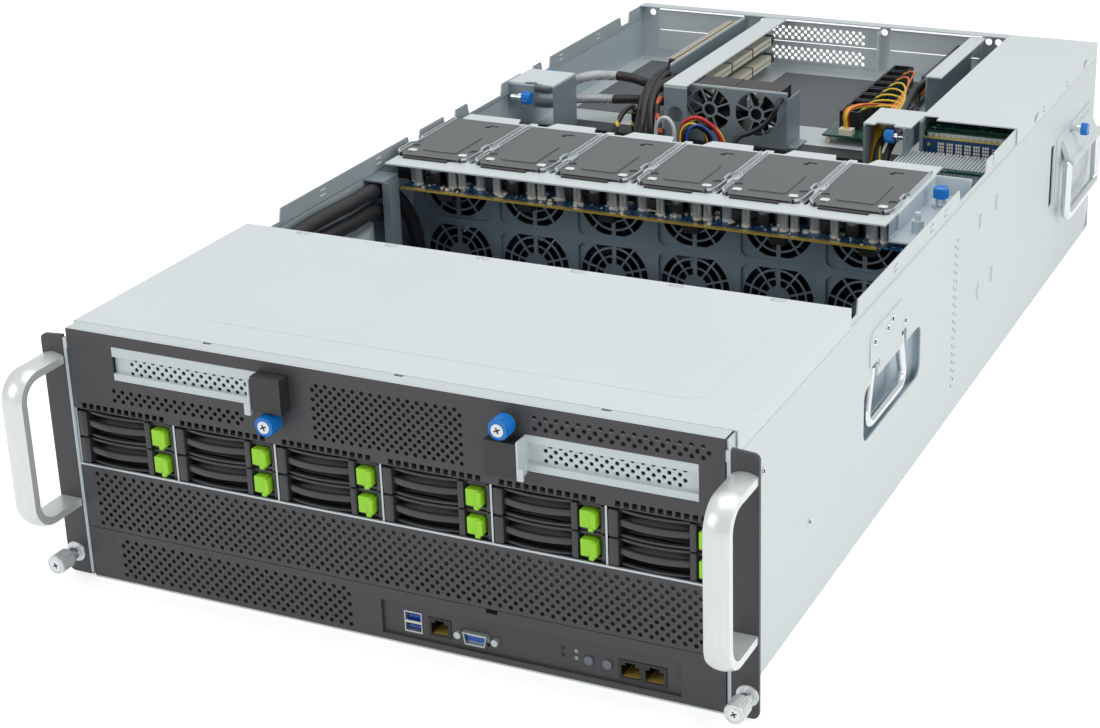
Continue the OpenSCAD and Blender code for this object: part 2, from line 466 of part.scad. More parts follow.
// ---- fan wall, fans, handles
cage_l = -(W2-6.8);                   // left end of the fan wall
cage_r = cage_l + 6*fan_pitch;
function fan_x(i) = cage_l + (i+0.5)*fan_pitch;
guard_y = fan_y + 2.4;
fan_y0 = guard_y + sheet + 0.2;
roof_z = fan_z + fan_row + fan_size/2 + 0.3;
cage_z0 = fan_z - fan_size/2 - 1;
module guard_bars() {
  difference() { circle(r=23.4, $fn=64); circle(r=21.8, $fn=64); }
  difference() { circle(r=16.2, $fn=64); circle(r=15, $fn=64); }
  circle(r=9.6, $fn=48);
  for (a=[-54, -18, 18, 54, 126, 162, 198, 234]) rotate(a) translate([8, -0.8]) square([21.5, 1.6]);
  translate([-1.7, -29.5]) square([3.4, 59]);
}
module fan_cage() color(inner) base() {
  // ribbed front frame, pressed forward
  yplate(fan_y, 2.5) difference() {
    union() { rect(cage_l, cage_r, cage_z0, roof_z); rect(-IN+0.3, cage_l+1, cage_z0, roof_z-9); }
    for (i=[0:5]) for (j=[0:1]) translate([fan_x(i), fan_z+j*fan_row]) rr(-fan_size/2+0.4, fan_size/2-0.4, -fan_size/2+1, j==1 ? fan_size/2-1 : fan_size/2-5, 6);
  }
  // finger guards
  yplate(guard_y, sheet) {
    difference() {
      rect(cage_l, cage_r, cage_z0, roof_z);
      for (i=[0:5]) for (j=[0:1]) translate([fan_x(i), fan_z+j*fan_row]) intersection() { circle(r=28.4*fan_size/60, $fn=64); square([fan_size-2, fan_size-(j==0 ? 12 : 6)], center=true); }
    }
    for (i=[0:5]) for (j=[0:1]) translate([fan_x(i), fan_z+j*fan_row]) intersection() { scale(fan_size/60) guard_bars(); square([fan_size-1, fan_size-(j==0 ? 10 : 4)], center=true); }
  }
  // roof with castellated rear edge, a window over each column and slots between
  color(light) zplate(roof_z, sheet) difference() {
    rect(cage_l+5, cage_r, fan_y-58, fan_y+83);
    for (i=[0:5]) translate([fan_x(i), 0]) rect(-fan_size/2-0.4, fan_size/2+0.4, fan_y0-0.4, fan_y0+fan_depth+0.4);
    for (i=[1:5]) translate([cage_l+i*fan_pitch, 0]) { rect(-1.6, 1.6, fan_y-36, fan_y0-3); polygon([[-17, fan_y+84], [-13, fan_y+71], [-4, fan_y+71], [-3, fan_y+76], [3, fan_y+76], [4, fan_y+71], [13, fan_y+71], [17, fan_y+84]]); }
  }
  // partitions between the columns and the end plates, which stand on the deck
  for (i=[0:6]) { x = cage_l+i*fan_pitch; bx(x-0.6+(i==0 ? 0.6 : 0)-(i==6 ? 0.6 : 0), x+0.6+(i==0 ? 0.6 : 0)-(i==6 ? 0.6 : 0), guard_y+sheet, fan_y0+fan_depth+2, cage_z0, roof_z); }
  // shelf under the lower fans
  bx(cage_l, cage_r, guard_y, fan_y0+fan_depth+2, cage_z0-sheet, cage_z0+0.1);
  bx(-IN, IN, fan_y, fan_y0+fan_depth+2, deck_z, deck_z+sheet);
  bx(-IN, IN, fan_y, fan_y+2.5, deck_z+sheet-0.1, cage_z0+0.1);
  // recess tray on the right
  color(light) difference() {
    bx(cage_r-0.2, IN, fan_y-50, fan_y+63, tray_fz-sheet, roof_z+sheet);
    bx(cage_r+sheet, flange_x-sheet-0.4, fan_y-51, fan_y+63-sheet, tray_fz, roof_z+2);
    bx(cage_r+0.1, IN+1, fan_y-51, fan_y-30, tray_fz+2, roof_z+2);
    bx(flange_x-sheet-1.4, IN+1, fan_y-51, fan_y+64, step_z-1.5, roof_z+2);
    zplate(tray_fz-3, 4) rr(W2-12, W2-8, fan_y+31, fan_y+45, 1.9);
  }
  color(silver) { zcyl(W2-19, fan_y-25, tray_fz, 4.4, 9, 32); zcyl(W2-19, fan_y-25, tray_fz+8.9, 2.2, 6, 24); }
}

module fan_frame(s, d, r, b_r) difference() { // front face at y=0, axis along Y
  union() {
    difference() { translate([-s/2, 0, -s/2]) cube([s, d, s]); ycyl(0, -1, 0, r, d+2, 72); }
    ycyl(0, d-10, 0, b_r, 10);
    for (a=[30, 120, 210, 300]) rotate([0, a, 0]) translate([b_r-1, d-4, -1.2]) cube([r-b_r+1.8, 4, 2.4]);
  }
  ycyl(0, d-11, 0, shaft_r+run_gap, 12, 32);
  for (x=[-1, 1]) for (z=[-1, 1]) translate([x*(s/2-4.4), -1, z*(s/2-4.4)]) rotate([-90, 0, 0]) cylinder(r=1.9, h=d+2, $fn=24);
}
aux_y = lid_y + 39; aux_x = [-54.6, -12]; aux_z = shelf_z+sheet+7+aux_size/2;
module fan_frames() color(black) base() {
  for (i=[0:5]) for (j=[0:1]) translate([fan_x(i), fan_y0, fan_z+j*fan_row]) fan_frame(fan_size, fan_depth, fan_size/2-1.8, 12);
  for (x=aux_x) translate([x, aux_y+sheet, aux_z]) fan_frame(aux_size, aux_depth, aux_size/2-1.4, 8);
}
module rotor(r, hub, len, pitch, n) {
  color(black) {
    ycyl(0, 3, 0, hub, len, 64);
    ycyl(0, 2.9+len, 0, shaft_r, 10, 32);
    intersection() {
      union() for (i=[0:n-1]) rotate([0, i*360/n, 0]) translate([hub-1.5, 3+len/2, 0]) rotate([pitch, 0, 0]) translate([0, -len*0.62, -0.7]) cube([r, len*1.24, 1.4]);
      ycyl(0, 4, 0, r, len-2, 64);
    }
  }
}
module main_rotor(i, j) base() translate([fan_x(i), fan_y0, fan_z+j*fan_row]) rotate([0, 11*i+17*j, 0]) rotor(fan_size/2-3, 13, fan_depth-14, 38, 7);
module aux_rotor(k) base() translate([aux_x[k], aux_y+sheet, aux_z]) rotate([0, 20*k, 0]) rotor(aux_size/2-2.4, 8.5, aux_depth-14, 38, 5);

hz = roof_z + sheet;
module fan_handle() {
  w = 31.4; y0 = fan_y-38; y1 = fan_y0+fan_depth+3;
  difference() {
    union() {
      zplate(hz, 1.8) polygon(concat(arc(w-10, y0+10, 10, 270, 360), [[w, y0+27], [w-3, y0+30], [w-3, y0+40], [w, y0+44], [w, y1], [-w, y1], [-w, y0+44], [-w+3, y0+40], [-w+3, y0+30], [-w, y0+27]], arc(-w+10, y0+10, 10, 180, 270)));
      zplate(hz+1.7, 0.7) rr(-15, 15, y0+14, y0+60, 3);
      bx(-22, 16, y0-4.5, y0+2, hz, hz+1.2);
      for (x=[-22, 22]) zcyl(x, y0+12, hz+1.7, 3.6, 0.6, 24);
      // curled edges of the sheet tray
      for (s=[-1, 1]) scale([s, 1, 1]) zplate(hz, 3.4) difference() {
        polygon(concat(arc(w-9.2, y0+9, 10, 288, 360), [[w+0.8, y0+27], [w-2.2, y0+30.4], [w-2.2, y0+39.6], [w+0.8, y0+43.6], [w+0.8, y1], [w-0.3, y1], [w-0.3, y0+44], [w-3.3, y0+40], [w-3.3, y0+30], [w-0.3, y0+26.6]], arc(w-9.2, y0+9, 8.8, 360, 288)));
      }
    }
    zcyl(5, y1-14, hz-1, 2.2, 5, 24);
    translate([5, y1-12, hz-1]) cube([8, 2.6, 5]);
    for (x=[-26, 26]) zcyl(x*0.98, y0+24, hz+0.9, 3.4, 3, 24);
  }
}
module fan_handles() color(charcoal) base() for (i=[0:5]) translate([fan_x(i), 0, 0]) fan_handle();

fb_z = roof_z - 19.1;                 // top of the fan board
fb_l = cage_l + 14; fb_r = cage_r + 10;
module fan_board() color(pcb) base() difference() {
  bx(fb_l, fb_r, fan_y-52, fan_y, fb_z-1.6, fb_z);
  bx(cage_r-8, fb_r+1, fan_y-53, fan_y-49, fb_z-3, fb_z+1);
}

// ---- small parts on the boards
pb = [bay_wall_x-105.5, bay_wall_x-57.5, lid_y+66, lid_y+250]; pb_z = shelf_z+8;  // power board
comb_z = top_z - 36.2;                 // underside of the fin comb
rc_x = bay_wall_x - 33.5;             // right riser channel
module cap(x, y, z, r, h) zcyl(x, y, z, r, h, 32);
module power_plug(y) translate([pb[0]+8, y, pb_z]) difference() { bx(0, 18, 0, 17, 1.6, 17); bx(2, 16, 2, 15, 9, 18); }
module board_components() base() {
  // fan board
  for (i=[0:5]) {
    color(silver) { cap(max(fan_x(i)-26, fb_l+5), fan_y-34, fb_z, 4.4, 13); cap(fan_x(i)-12, fan_y-14, fb_z, 5, 15); cap(fan_x(i)+2, fan_y-33, fb_z, 5, 14); cap(fan_x(i)+15, fan_y-30, fb_z, 4.4, 13); }
    color(black) { bx(fan_x(i)-8, fan_x(i)+6, fan_y-24, fan_y-12, fb_z, fb_z+9); bx(fan_x(i)+20, fan_x(i)+30, fan_y-22, fan_y-8, fb_z, fb_z+8); }
    color(light) bx(fan_x(i)+12, fan_x(i)+24, fan_y-50, fan_y-42, fb_z-8, fb_z-1.6);
  }
  // power board: spacers, stacked plugs, header
  color(silver) for (x=[pb[0]+4, pb[1]-4]) for (y=[pb[2]+6, pb[3]-6]) zcyl(x, y, shelf_z+sheet, 2.6, pb_z-shelf_z-sheet, 24);
  color(black) for (k=[0:7]) power_plug(pb[2]+22+k*20);
  color(light) bx(pb[0]+14, pb[0]+26, pb[2]+2, pb[2]+10, pb_z+1.6, pb_z+7);
  // riser sockets
  color(black) bx(-122, -114.2, lid_y+104, lid_y+254, top_z-18, top_z-8);
  color(light) { bx(-88.2, -79, lid_y+88, lid_y+262, top_z-22, top_z-14); bx(-88.2, -79, lid_y+88, lid_y+262, top_z-40, top_z-32); }
  color(black) bx(rc_x-11, rc_x-1.6, lid_y+152, lid_y+266, top_z-19, top_z-9);
  // fin comb in front of the retimer board
  color(silver) { bx(bay_wall_x-13.5, IN, lid_y-40, lid_y-0.3, comb_z, comb_z+2); bx(bay_wall_x+sheet+0.1, IN, lid_y-0.4, lid_y+8, comb_z, comb_z+2);
    for (i=[0:27]) bx(bay_wall_x-10.5+i*2.9, bay_wall_x-9.5+i*2.9, lid_y-38, lid_y-2, comb_z+1.9, comb_z+10.5); }
  // processor sockets
  color(light) for (x=[-75, 75]) bx(x-42, x+42, 330, 420, mb_z+1.6, mb_z+7);
  // retimer board sockets
  color(black) bx(bay_wall_x+6.5, W2-10, lid_y+9.6, lid_y+15, comb_z+2, comb_z+12);
}

// ---- brackets in the rear half
br_x = -(W2-46);                      // right side of the left riser bridge
module riser_brackets() color(inner) base() {
  // left riser bridge, hung from the wall
  union() {
    color(light) difference() { bx(-flange_x+sheet, br_x, lid_y-11, lid_y+33, top_z-2.2, top_z-1); zplate(top_z-3, 3) polygon([[br_x-30, lid_y-12], [br_x-28, lid_y-6], [br_x-20, lid_y-4], [br_x-17, lid_y-8], [br_x-12, lid_y-8], [br_x-10, lid_y-12]]); }
    bx(br_x-1.2, br_x, lid_y-11, lid_y+33, shelf_z+6, top_z-2.1);
    bx(-flange_x+sheet, -(W2-27), lid_y-11, lid_y-9.8, top_z-22.2, top_z-2.1);
  }
  // plate that carries the left riser board
  bx(-112.6, -111.4, lid_y+90, body_d-sheet-10.2, shelf_z+sheet, top_z-1);
  // centre rail: web, top and pierced front end
  difference() {
    union() {
      bx(-91, -89.8, lid_y+25, body_d-sheet-10.2, shelf_z+sheet, top_z-0.2);
      color(light) bx(-91, -70, lid_y+25, body_d-sheet-10.2, top_z-1.4, top_z-0.2);
      bx(-91, -70, lid_y+25, lid_y+26.2, shelf_z+sheet, top_z-1);
    }
    ycyl(-80.5, lid_y+22, (shelf_z+top_z)/2, 7, 8, 32);
  }
  // auxiliary fan bracket with two finger guards and a side leg
  union() {
    yplate(aux_y, sheet) {
      difference() {
        rect(-77, 16, shelf_z+sheet, aux_z+aux_size/2+0.5);
        for (x=aux_x) translate([x, aux_z]) circle(r=19, $fn=64);
      }
      for (x=aux_x) translate([x, aux_z]) { difference() { circle(r=7, $fn=32); circle(r=5, $fn=32); }
        for (a=[0:45:315]) rotate(a+22.5) translate([6.5, -0.7]) square([13.2, 1.4]); }
    }
    bx(-77, 16, aux_y, aux_y+aux_depth+4, shelf_z+sheet, shelf_z+2*sheet);
    bx(14.8, 16, aux_y, aux_y+aux_depth+4, shelf_z+sheet, aux_z+aux_size/2-6);
    bx(14.8, 24, aux_y+2, aux_y+aux_depth, shelf_z+sheet, shelf_z+2*sheet);
  }
  // bracket beside the power board
  color(light) difference() { bx(bay_wall_x-39.5, bay_wall_x, lid_y-24, lid_y+22, top_z-1.4, top_z-0.2); bx(bay_wall_x-30, bay_wall_x-14, lid_y-25, lid_y-18, top_z-2, top_z); }
  bx(bay_wall_x-39.5, bay_wall_x-38.3, lid_y-24, lid_y+22, shelf_z+4, top_z-1.3);
  // riser channel
  bx(rc_x, rc_x+1.2, lid_y+128, body_d-sheet-10.2, shelf_z+sheet, top_z-1);
  bx(rc_x+1.1, rc_x+8, lid_y+128, body_d-sheet-10.2, shelf_z+sheet, shelf_z+2*sheet);
  color(light) bx(rc_x+1.1, rc_x+14, lid_y+128, body_d-sheet-10.2, top_z-2.2, top_z-1);
  // wall beside the power supplies
  bx(bay_wall_x, bay_wall_x+sheet, lid_y, body_d-sheet, sheet, top_z);
  difference() { bx(bay_wall_x-6.5, bay_wall_x-5.3, lid_y-24, lid_y+22, top_z-24.2, top_z-1.3); xcyl(bay_wall_x-7.5, lid_y-17, top_z-11.2, 2.5, 4, 24); }
  // cable bridge on the left wall
  difference() { bx(-IN, -(W2-19), fan_y-74, fan_y-51, 100, step_z-1); bx(-IN-1, -(W2-17.8), fan_y-75, fan_y-50, 99, step_z-2.2); }
  bx(-(W2-19.1), -(W2-24), fan_y-74, fan_y-72.8, 104, step_z-1.5);
}
module riser_boards() base() {
  color(pcb) bx(-114.2, -112.6, lid_y+98, lid_y+266, shelf_z+6, top_z-3);
  color(pcb) bx(-89.8, -88.2, lid_y+82, lid_y+268, shelf_z+4, top_z-6);
  color(pcb) bx(rc_x-1.6, rc_x, lid_y+140, lid_y+266, shelf_z+5, top_z-3);
  color(pcb) bx(pb[0], pb[1], pb[2], pb[3], pb_z, pb_z+1.6);
  // retimer board and its partner behind
  color(pcb) bx(bay_wall_x+1.5, W2-6, lid_y+8, lid_y+9.6, comb_z-10, comb_z+20);
  color(pcb) bx(bay_wall_x+sheet, flange_x-sheet-0.2, lid_y+16, lid_y+82, top_z-11.2, top_z-9.6);
  color(pcb) bx(bay_wall_x+4.5, W2-16, lid_y-44, lid_y-38, comb_z+8.5, comb_z+10.1);
}
module rear_shelf() base() {
  color(light) { bx(-IN, bay_wall_x, shelf_y, body_d-sheet, shelf_z, shelf_z+sheet); bx(-IN, bay_wall_x, shelf_y, shelf_y+sheet, shelf_z-4, shelf_z+0.1); }
  // insulating mats
  color([0.4, 0.4, 0.41]) { bx(-(W2-18), -122.5, shelf_y+55, body_d-20, shelf_z+sheet, shelf_z+sheet+0.5); bx(-68, pb[0]-2, shelf_y+75, body_d-16, shelf_z+sheet, shelf_z+sheet+0.5); }
  // pierced black plate under the front edge
  color(black) bx(-IN+0.2, bay_wall_x-0.3, shelf_y-1, shelf_y, deck_z+4, shelf_z-0.2);
}

// ---- captive cables: tubes swept along hand-set points
function unit(v) = v/norm(v);
function mixp(a, b, t) = a + (b-a)*t;
// Catmull-Rom points through p
function cr(p0, p1, p2, p3, t) = 0.5*((2*p1) + (p2-p0)*t + (2*p0-5*p1+4*p2-p3)*t*t + (3*p1-p0-3*p2+p3)*t*t*t);
function path(p, n) = let(m=len(p)) concat([for (i=[0:m-2]) for (k=[0:n-1])
  cr(p[max(i-1, 0)], p[i], p[i+1], p[min(i+2, m-1)], k/n)], [p[m-1]]);
// directions across the path, carried along it without twist
function across(d, i, u) = i >= len(d) ? [] : let(v=unit(u-(u*d[i])*d[i])) concat([v], across(d, i+1, v));
module tube(p, r, n=2, sides=8) {
  q = path(p, n); m = len(q);
  d = [for (i=[0:m-1]) unit(q[min(i+1, m-1)]-q[max(i-1, 0)])];
  us = across(d, 0, abs(d[0][0]) < 0.9 ? [1, 0, 0] : [0, 1, 0]);
  pts = [for (i=[0:m-1]) for (k=[0:sides-1]) q[i] + r*(us[i]*cos(k*360/sides) + cross(d[i], us[i])*sin(k*360/sides))];
  polyhedron(points=pts, faces=concat([[for (k=[0:sides-1]) k]], [[for (k=[sides-1:-1:0]) (m-1)*sides+k]],
    [for (i=[0:m-2]) for (k=[0:sides-1]) each [[i*sides+k, (i+1)*sides+k, (i+1)*sides+(k+1)%sides], [i*sides+k, (i+1)*sides+(k+1)%sides, i*sides+(k+1)%sides]]]), convexity=6);
}
// point that keeps its place from the rear and the top when the body grows
function w(x, y, z) = [x, lid_y-618+y, top_z-174+z];
module cable_sleeves() color(black) base() {
  // pair of sleeves from under the cover through the bridge and down to the deck
  tube([[-214, 175, 140], [-214, 240, 152], [-214, 330, 152], [-214, 375, 148], [-213, 410, 120], [-212, 424, 70], [-212, 424, 56], [-212, 424, deck_z+sheet]], 6);
  tube([[-214, 175, 124], [-214, 240, 137], [-214, 330, 136], [-214, 372, 132], [-213, 396, 100], [-213, 404, 70], [-213, 404, 56], [-213, 404, deck_z+sheet]], 6);
  // sleeves from the left wall to the left riser board
  tube([[-IN, lid_y+46, top_z-22], w(-216, 664, 152), w(-209, 664, 152), w(-192, 665, 159), w(-176, 669, 165.5), w(-160, 688, 163), w(-149, 698, 160), w(-136, 702, 156), w(-126, 709, 150), w(-120, 718, 146), w(-117, 718, 146), w(-114.2, 718, 146)], 4.4);
  tube([[-IN, lid_y+42, top_z-34], w(-216, 660, 140), w(-209, 660, 140), w(-188, 661, 146), w(-173, 667, 146.5), w(-154, 684, 143), w(-143, 692, 142), w(-133, 699, 140), w(-124, 712, 136.6), w(-120, 719.6, 136), w(-117, 719.6, 136), w(-114.2, 719.6, 136)], 4.2);
  // bundle up to the riser socket and the cables beside it
  tube([[-113, lid_y+22, sheet], w(-113, 640, 40), w(-113, 640, 112), w(-113, 645, 131), w(-115, 655, 141), w(-118, 668, 150), w(-120, 686, 159), w(-120.2, 702, 163.4), w(-120.2, 714, 163.4), w(-120.2, 722, 163.4)], 5);
  tube([[-102, lid_y+22, sheet], w(-102, 640, 40), w(-102, 640, 120), w(-103, 642, 136), w(-106, 650, 146), w(-109, 662, 155), w(-109.6, 674, 160), w(-108, 690, 162), w(-106, 704, 161), w(-107, 714, 160), w(-109, 714, 160), w(-111.4, 714, 160)], 3.4);
  tube([[-92.6, lid_y+21, sheet], w(-92.6, 639, 40), w(-92.6, 639, 128), w(-95, 641, 139), w(-98.6, 646, 147), w(-101, 654, 154), w(-101.4, 668, 158), w(-101, 684, 159), w(-100.6, 700, 157), w(-101, 716, 153), w(-104.6, 724, 152), w(-107, 724, 152), w(-111.4, 724, 152)], 2.2);
  tube([[-122, lid_y-14, sheet], w(-122, 604, 40), w(-122, 604, 112), w(-120, 605, 141), w(-119.4, 614, 149), w(-119.4, 624, 152.5), w(-120, 636, 152.5), w(-123, 650, 148), w(-127, 660, 142), w(-128, 662, 136), w(-128, 662, 129), w(-128, 662, shelf_z+sheet-top_z+174)], 2.4);
  // loops behind the fan wall
  tube([[-82, lid_y-14, sheet], w(-82, 604, 60), w(-82, 604, 142), w(-80, 604, 152), w(-73.5, 604, 157), w(-67, 604, 152), w(-65, 604, 142), w(-65, 604, 60), [-65, lid_y-14, sheet]], 1.7);
  tube([[-57, lid_y-12, sheet], w(-57, 606, 60), w(-57, 606, 136), w(-55, 607, 147), w(-49, 609, 151), w(-42, 612, 148), w(-36.6, 615, 138), w(-36, 616, 120), w(-36, 616, 60), [-36, lid_y-2, sheet]], 2.4);
  tube([[-63, lid_y-5, sheet], w(-63, 613, 60), w(-63, 613, 140), w(-60, 613.6, 151), w(-52, 615, 156), w(-42, 618, 153), w(-31, 621, 140), w(-29.4, 622, 120), w(-29.4, 622, 60), [-29.4, lid_y+4, sheet]], 1.8);
  // leads of the two auxiliary fans
  tube([[-73, aux_y, aux_z+13], [-73, aux_y-3, aux_z+13], [-73, aux_y-6, aux_z+13], w(-72, 646.4, 161), w(-67, 646, 152), w(-61, 645, 145), w(-53, 643, 136), w(-50, 639, 120), w(-50, 639, 60), [-50, lid_y+21, sheet]], 1.8);
  tube([[11, aux_y, aux_z+15], [11, aux_y-3, aux_z+15], [11, aux_y-6, aux_z+15], w(10.6, 646, 162.6), w(7, 645, 155), w(-1, 643, 146), w(-11, 639, 140), w(-19, 634, 137), w(-22.4, 630, 128), w(-23, 629, 110), w(-23, 629, 60), [-23, lid_y+11, sheet]], 2.4);
  // sleeve and lead to the right riser
  tube([[98, lid_y-10, sheet], w(98, 608, 40), w(98, 608, 126), w(98, 611, 144), w(98, 622, 153), w(97, 640, 156), w(95, 680, 152), w(97, 720, 154), w(101, 746, 160), w(rc_x-7.4, 756, 161.6), w(rc_x-7.4, 763, 161.6), w(rc_x-7.4, 770, 161.6)], 3.2);
  tube([w(rc_x-4.4, 770, 157), w(rc_x-4.4, 766, 157), w(rc_x-4.4, 762, 157), w(100.6, 752, 150), w(90, 742, 146), w(76, 722, 150), w(62, 700, 153), [pb[0]+20, pb[2]+6, pb_z+20], [pb[0]+20, pb[2]+6, pb_z+14], [pb[0]+20, pb[2]+6, pb_z+7]], 1.6);
}

// ---- inside: deck, boards, processors, memory, supplies
module gpu_baseboard() base() {
  color(light) bx(-IN, IN, bay_d+12, fan_y, deck_z, deck_z+sheet);
  color(pcb) bx(-(W2-28), W2-28, bay_d+22, fan_y-14, deck_z+sheet, deck_z+sheet+2);
}
mb_z = 7;
module motherboard() base() {
  color(pcb) bx(-(W2-12), W2-12, 180, fan_y+163, mb_z, mb_z+1.6);
  color(silver) for (x=[-(W2-24), 0, W2-24]) for (y=[190, fan_y-47, fan_y+153]) zcyl(x, y, sheet, 3, mb_z-sheet, 24);
}
module sink(x, y, w, l, z0, h, n) difference() {
  bx(x-w/2, x+w/2, y-l/2, y+l/2, z0, z0+h);
  for (i=[0:n-2]) bx(x-w/2+(i+1)*w/n-w/n*0.3, x-w/2+(i+1)*w/n+w/n*0.3, y-l/2-1, y+l/2+1, z0+4, z0+h+1);
}
module heatsinks() color(silver) base() {
  l = (fan_y-bay_d-73)/2;
  for (i=[0:3]) for (y=[bay_d+34+l/2, fan_y-25-l/2]) sink((i-1.5)*(W2-28)/2, y, (W2-28)/2-14, l, deck_z+sheet+2, 32, 12);
  for (x=[-75, 75]) sink(x, 375, 78, 104, mb_z+7, 26, 12);
}
module memory_modules() color([0.1, 0.25, 0.2]) base()
  for (x=[-75, 75]) for (s=[-1, 1]) for (k=[0:7]) bx(x+s*(50+k*2.6)-0.7, x+s*(50+k*2.6)+0.7, 310, 443, mb_z+1.6, mb_z+33);
module psu(z) {
  difference() {
    union() {
      bx(psu_x0, psu_x0+psu_w, body_d-psu_l, body_d, z, z+psu_h);
      // pull handle
      difference() { bx(psu_x0+psu_w-34, psu_x0+psu_w-8, body_d-0.1, body_d+12, z+psu_h-13, z+psu_h-8); bx(psu_x0+psu_w-30, psu_x0+psu_w-12, body_d, body_d+8, z+psu_h-14, z+psu_h-7); }
    }
    ycyl(psu_x0+20, body_d-4, z+psu_h/2, 16.5, 5, 48);
    bx(psu_x0+42, psu_x0+62, body_d-14, body_d+1, z+4, z+20);
  }
}
module power_supplies() color(silver) base() for (k=[0:3]) psu(sheet+0.6+k*(psu_h+psu_gap));

// ---- moving parts
tray_w = bay_pitch_x - div_t - 0.8;
function bow_y(x, a, b) = -2.4*sin(180*(x-a)/(b-a));
module slat(a, b, z0, z1, y) translate([0, 0, z0]) linear_extrude(z1-z0)
  polygon(concat([for (i=[0:8]) let(x=a+(b-a)*i/8) [x, y+bow_y(x, a, b)]], [[b, y+3.4], [a, y+3.4]]));
module tray_face() {
  h = tray_h;
  bx(0, 6.4, 0, 9, 0, h);
  bx(50.2, 54.4, 0, 9, 0, h);
  bx(tray_w-3, tray_w, 0, 9, 0, h);
  bx(6.3, 50.3, 2.6, 9, h-1.7, h);
  bx(6.3, 50.3, 2.6, 9, 0, 1.5);
  slat(5.4, 51, h*0.42, h*0.42+4.4, 1.6);
  bx(54.3, tray_w-2.9, 1.6, 9, 0, 1.8);
  bx(54.3, tray_w-2.9, 1.6, 9, h-2.4, h);
  bx(5, tray_w-1, 7.6, 9, 0, h);
}
module drive_tray(c, r) base() translate([-cage_x+c*bay_pitch_x+div_t/2+0.4, 0, bay_z+sheet+0.3+r*bay_pitch_z]) {
  color(charcoal) tray_face();
  color(lime) { bx(55.4, tray_w-4, -1.4, 7.6, 3.2, 13.9); bx(tray_w-11.8, tray_w-4.6, -3.6, -1.4, 3.2, 12.4); }
  color(silver) for (x=[0, tray_w-0.8]) bx(x, x+0.8, 9, tray_d, 1, h_rail);
  color(silver) bx(0.8, tray_w-0.8, 34, 134, 1, 15.6);
}
h_rail = 15;
// rod through points of the YZ plane, with a ball at every bend
module bail(w, drop, x, y, z) translate([x, y, z]) {
  q = 9;
  ycyl(0, -w/2-0.2, 0, rod_r, w+0.4, 48);
  for (s=[-1, 1]) {
    translate([0, s*w/2, 0]) sphere(r=leg_rr, $fn=48);
    translate([0, s*w/2, -(drop-q)]) cylinder(r=leg_rr, h=drop-q, $fn=48);
    translate([0, s*(w/2-q), -(drop-q)]) rotate([0, 90, 0]) rotate([0, 0, s > 0 ? 0 : -90]) rotate_extrude(angle=90, $fn=96) translate([q, 0]) circle(r=leg_rr, $fn=48);
  }
  ycyl(0, -(w/2-q), -drop, leg_rr, w-2*q, 48);
}
// bail whose legs lean out to a wider grip
module flared_bail(w, flare, drop, x, y, z) translate([x, y, z]) {
  q = 9; g = w/2+flare/2; lean = atan(flare/2/drop); t = q*tan((90+lean)/2);
  half = concat([[0, w/2-leg_r*tan(lean), leg_r]], [for (a=[90+lean:-(90+lean)/8:0]) [0, g-t+q*sin(a), -drop+q-q*cos(a)]]);
  ycyl(0, -w/2-0.2, 0, rod_r, w+0.4, 48);
  tube(concat(half, [for (i=[len(half)-1:-1:0]) [half[i][0], -half[i][1], half[i][2]]]), leg_r, 1, 16);
}
module push_button(k) color([0.55, 0.6, 0.66]) base() { ycyl(btn[k][0], io_y-1.3, btn[k][1], 2.9, 7, 32); ycyl(btn[k][0], io_y+5.6, btn[k][1], 1.6, 6, 24); }

chassis_floor();
side_walls();
rear_panel();
drive_cage();
rack_ears();
front_handles();
thumbscrews();
front_cover();
rear_cover();
upper_bezel();
middle_grille();
tray_door();
front_ports();
slot_brackets();
fan_cage();
fan_frames();
fan_handles();
fan_board();
board_components();
riser_brackets();
riser_boards();
rear_shelf();
cable_sleeves();
gpu_baseboard();
motherboard();
heatsinks();
memory_modules();
power_supplies();
drive_tray(0, 1);  // drive_tray_a1
drive_tray(1, 1);  // drive_tray_a2
drive_tray(2, 1);  // drive_tray_a3
drive_tray(3, 1);  // drive_tray_a4
drive_tray(4, 1);  // drive_tray_a5
drive_tray(5, 1);  // drive_tray_a6
drive_tray(0, 0);  // drive_tray_b1
drive_tray(1, 0);  // drive_tray_b2
drive_tray(2, 0);  // drive_tray_b3
drive_tray(3, 0);  // drive_tray_b4
drive_tray(4, 0);  // drive_tray_b5
drive_tray(5, 0);  // drive_tray_b6
main_rotor(0, 1);  // fan_rotor_a1
main_rotor(1, 1);  // fan_rotor_a2
main_rotor(2, 1);  // fan_rotor_a3
main_rotor(3, 1);  // fan_rotor_a4
main_rotor(4, 1);  // fan_rotor_a5
main_rotor(5, 1);  // fan_rotor_a6
main_rotor(0, 0);  // fan_rotor_b1
main_rotor(1, 0);  // fan_rotor_b2
main_rotor(2, 0);  // fan_rotor_b3
main_rotor(3, 0);  // fan_rotor_b4
main_rotor(4, 0);  // fan_rotor_b5
main_rotor(5, 0);  // fan_rotor_b6
aux_rotor(0);  // aux_rotor_1
aux_rotor(1);  // aux_rotor_2
color(chrome) base() mirror([1, 0, 0]) flared_bail(bail_front_w, bail_flare, bail_front_drop, bail_fx, bail_fy, bail_fz);  // bail_front_left
color(chrome) base() flared_bail(bail_front_w, bail_flare, bail_front_drop, bail_fx, bail_fy, bail_fz);  // bail_front_right
color(chrome) base() mirror([1, 0, 0]) bail(bail_rear_w, bail_rear_drop, bail_rx, bail_ry, bail_rz);  // bail_rear_left
color(chrome) base() bail(bail_rear_w, bail_rear_drop, bail_rx, bail_ry, bail_rz);  // bail_rear_right
push_button(0);  // power_button
push_button(1);  // id_button
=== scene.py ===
import math
import random
import bpy
import bmesh
from mathutils import Matrix, Vector


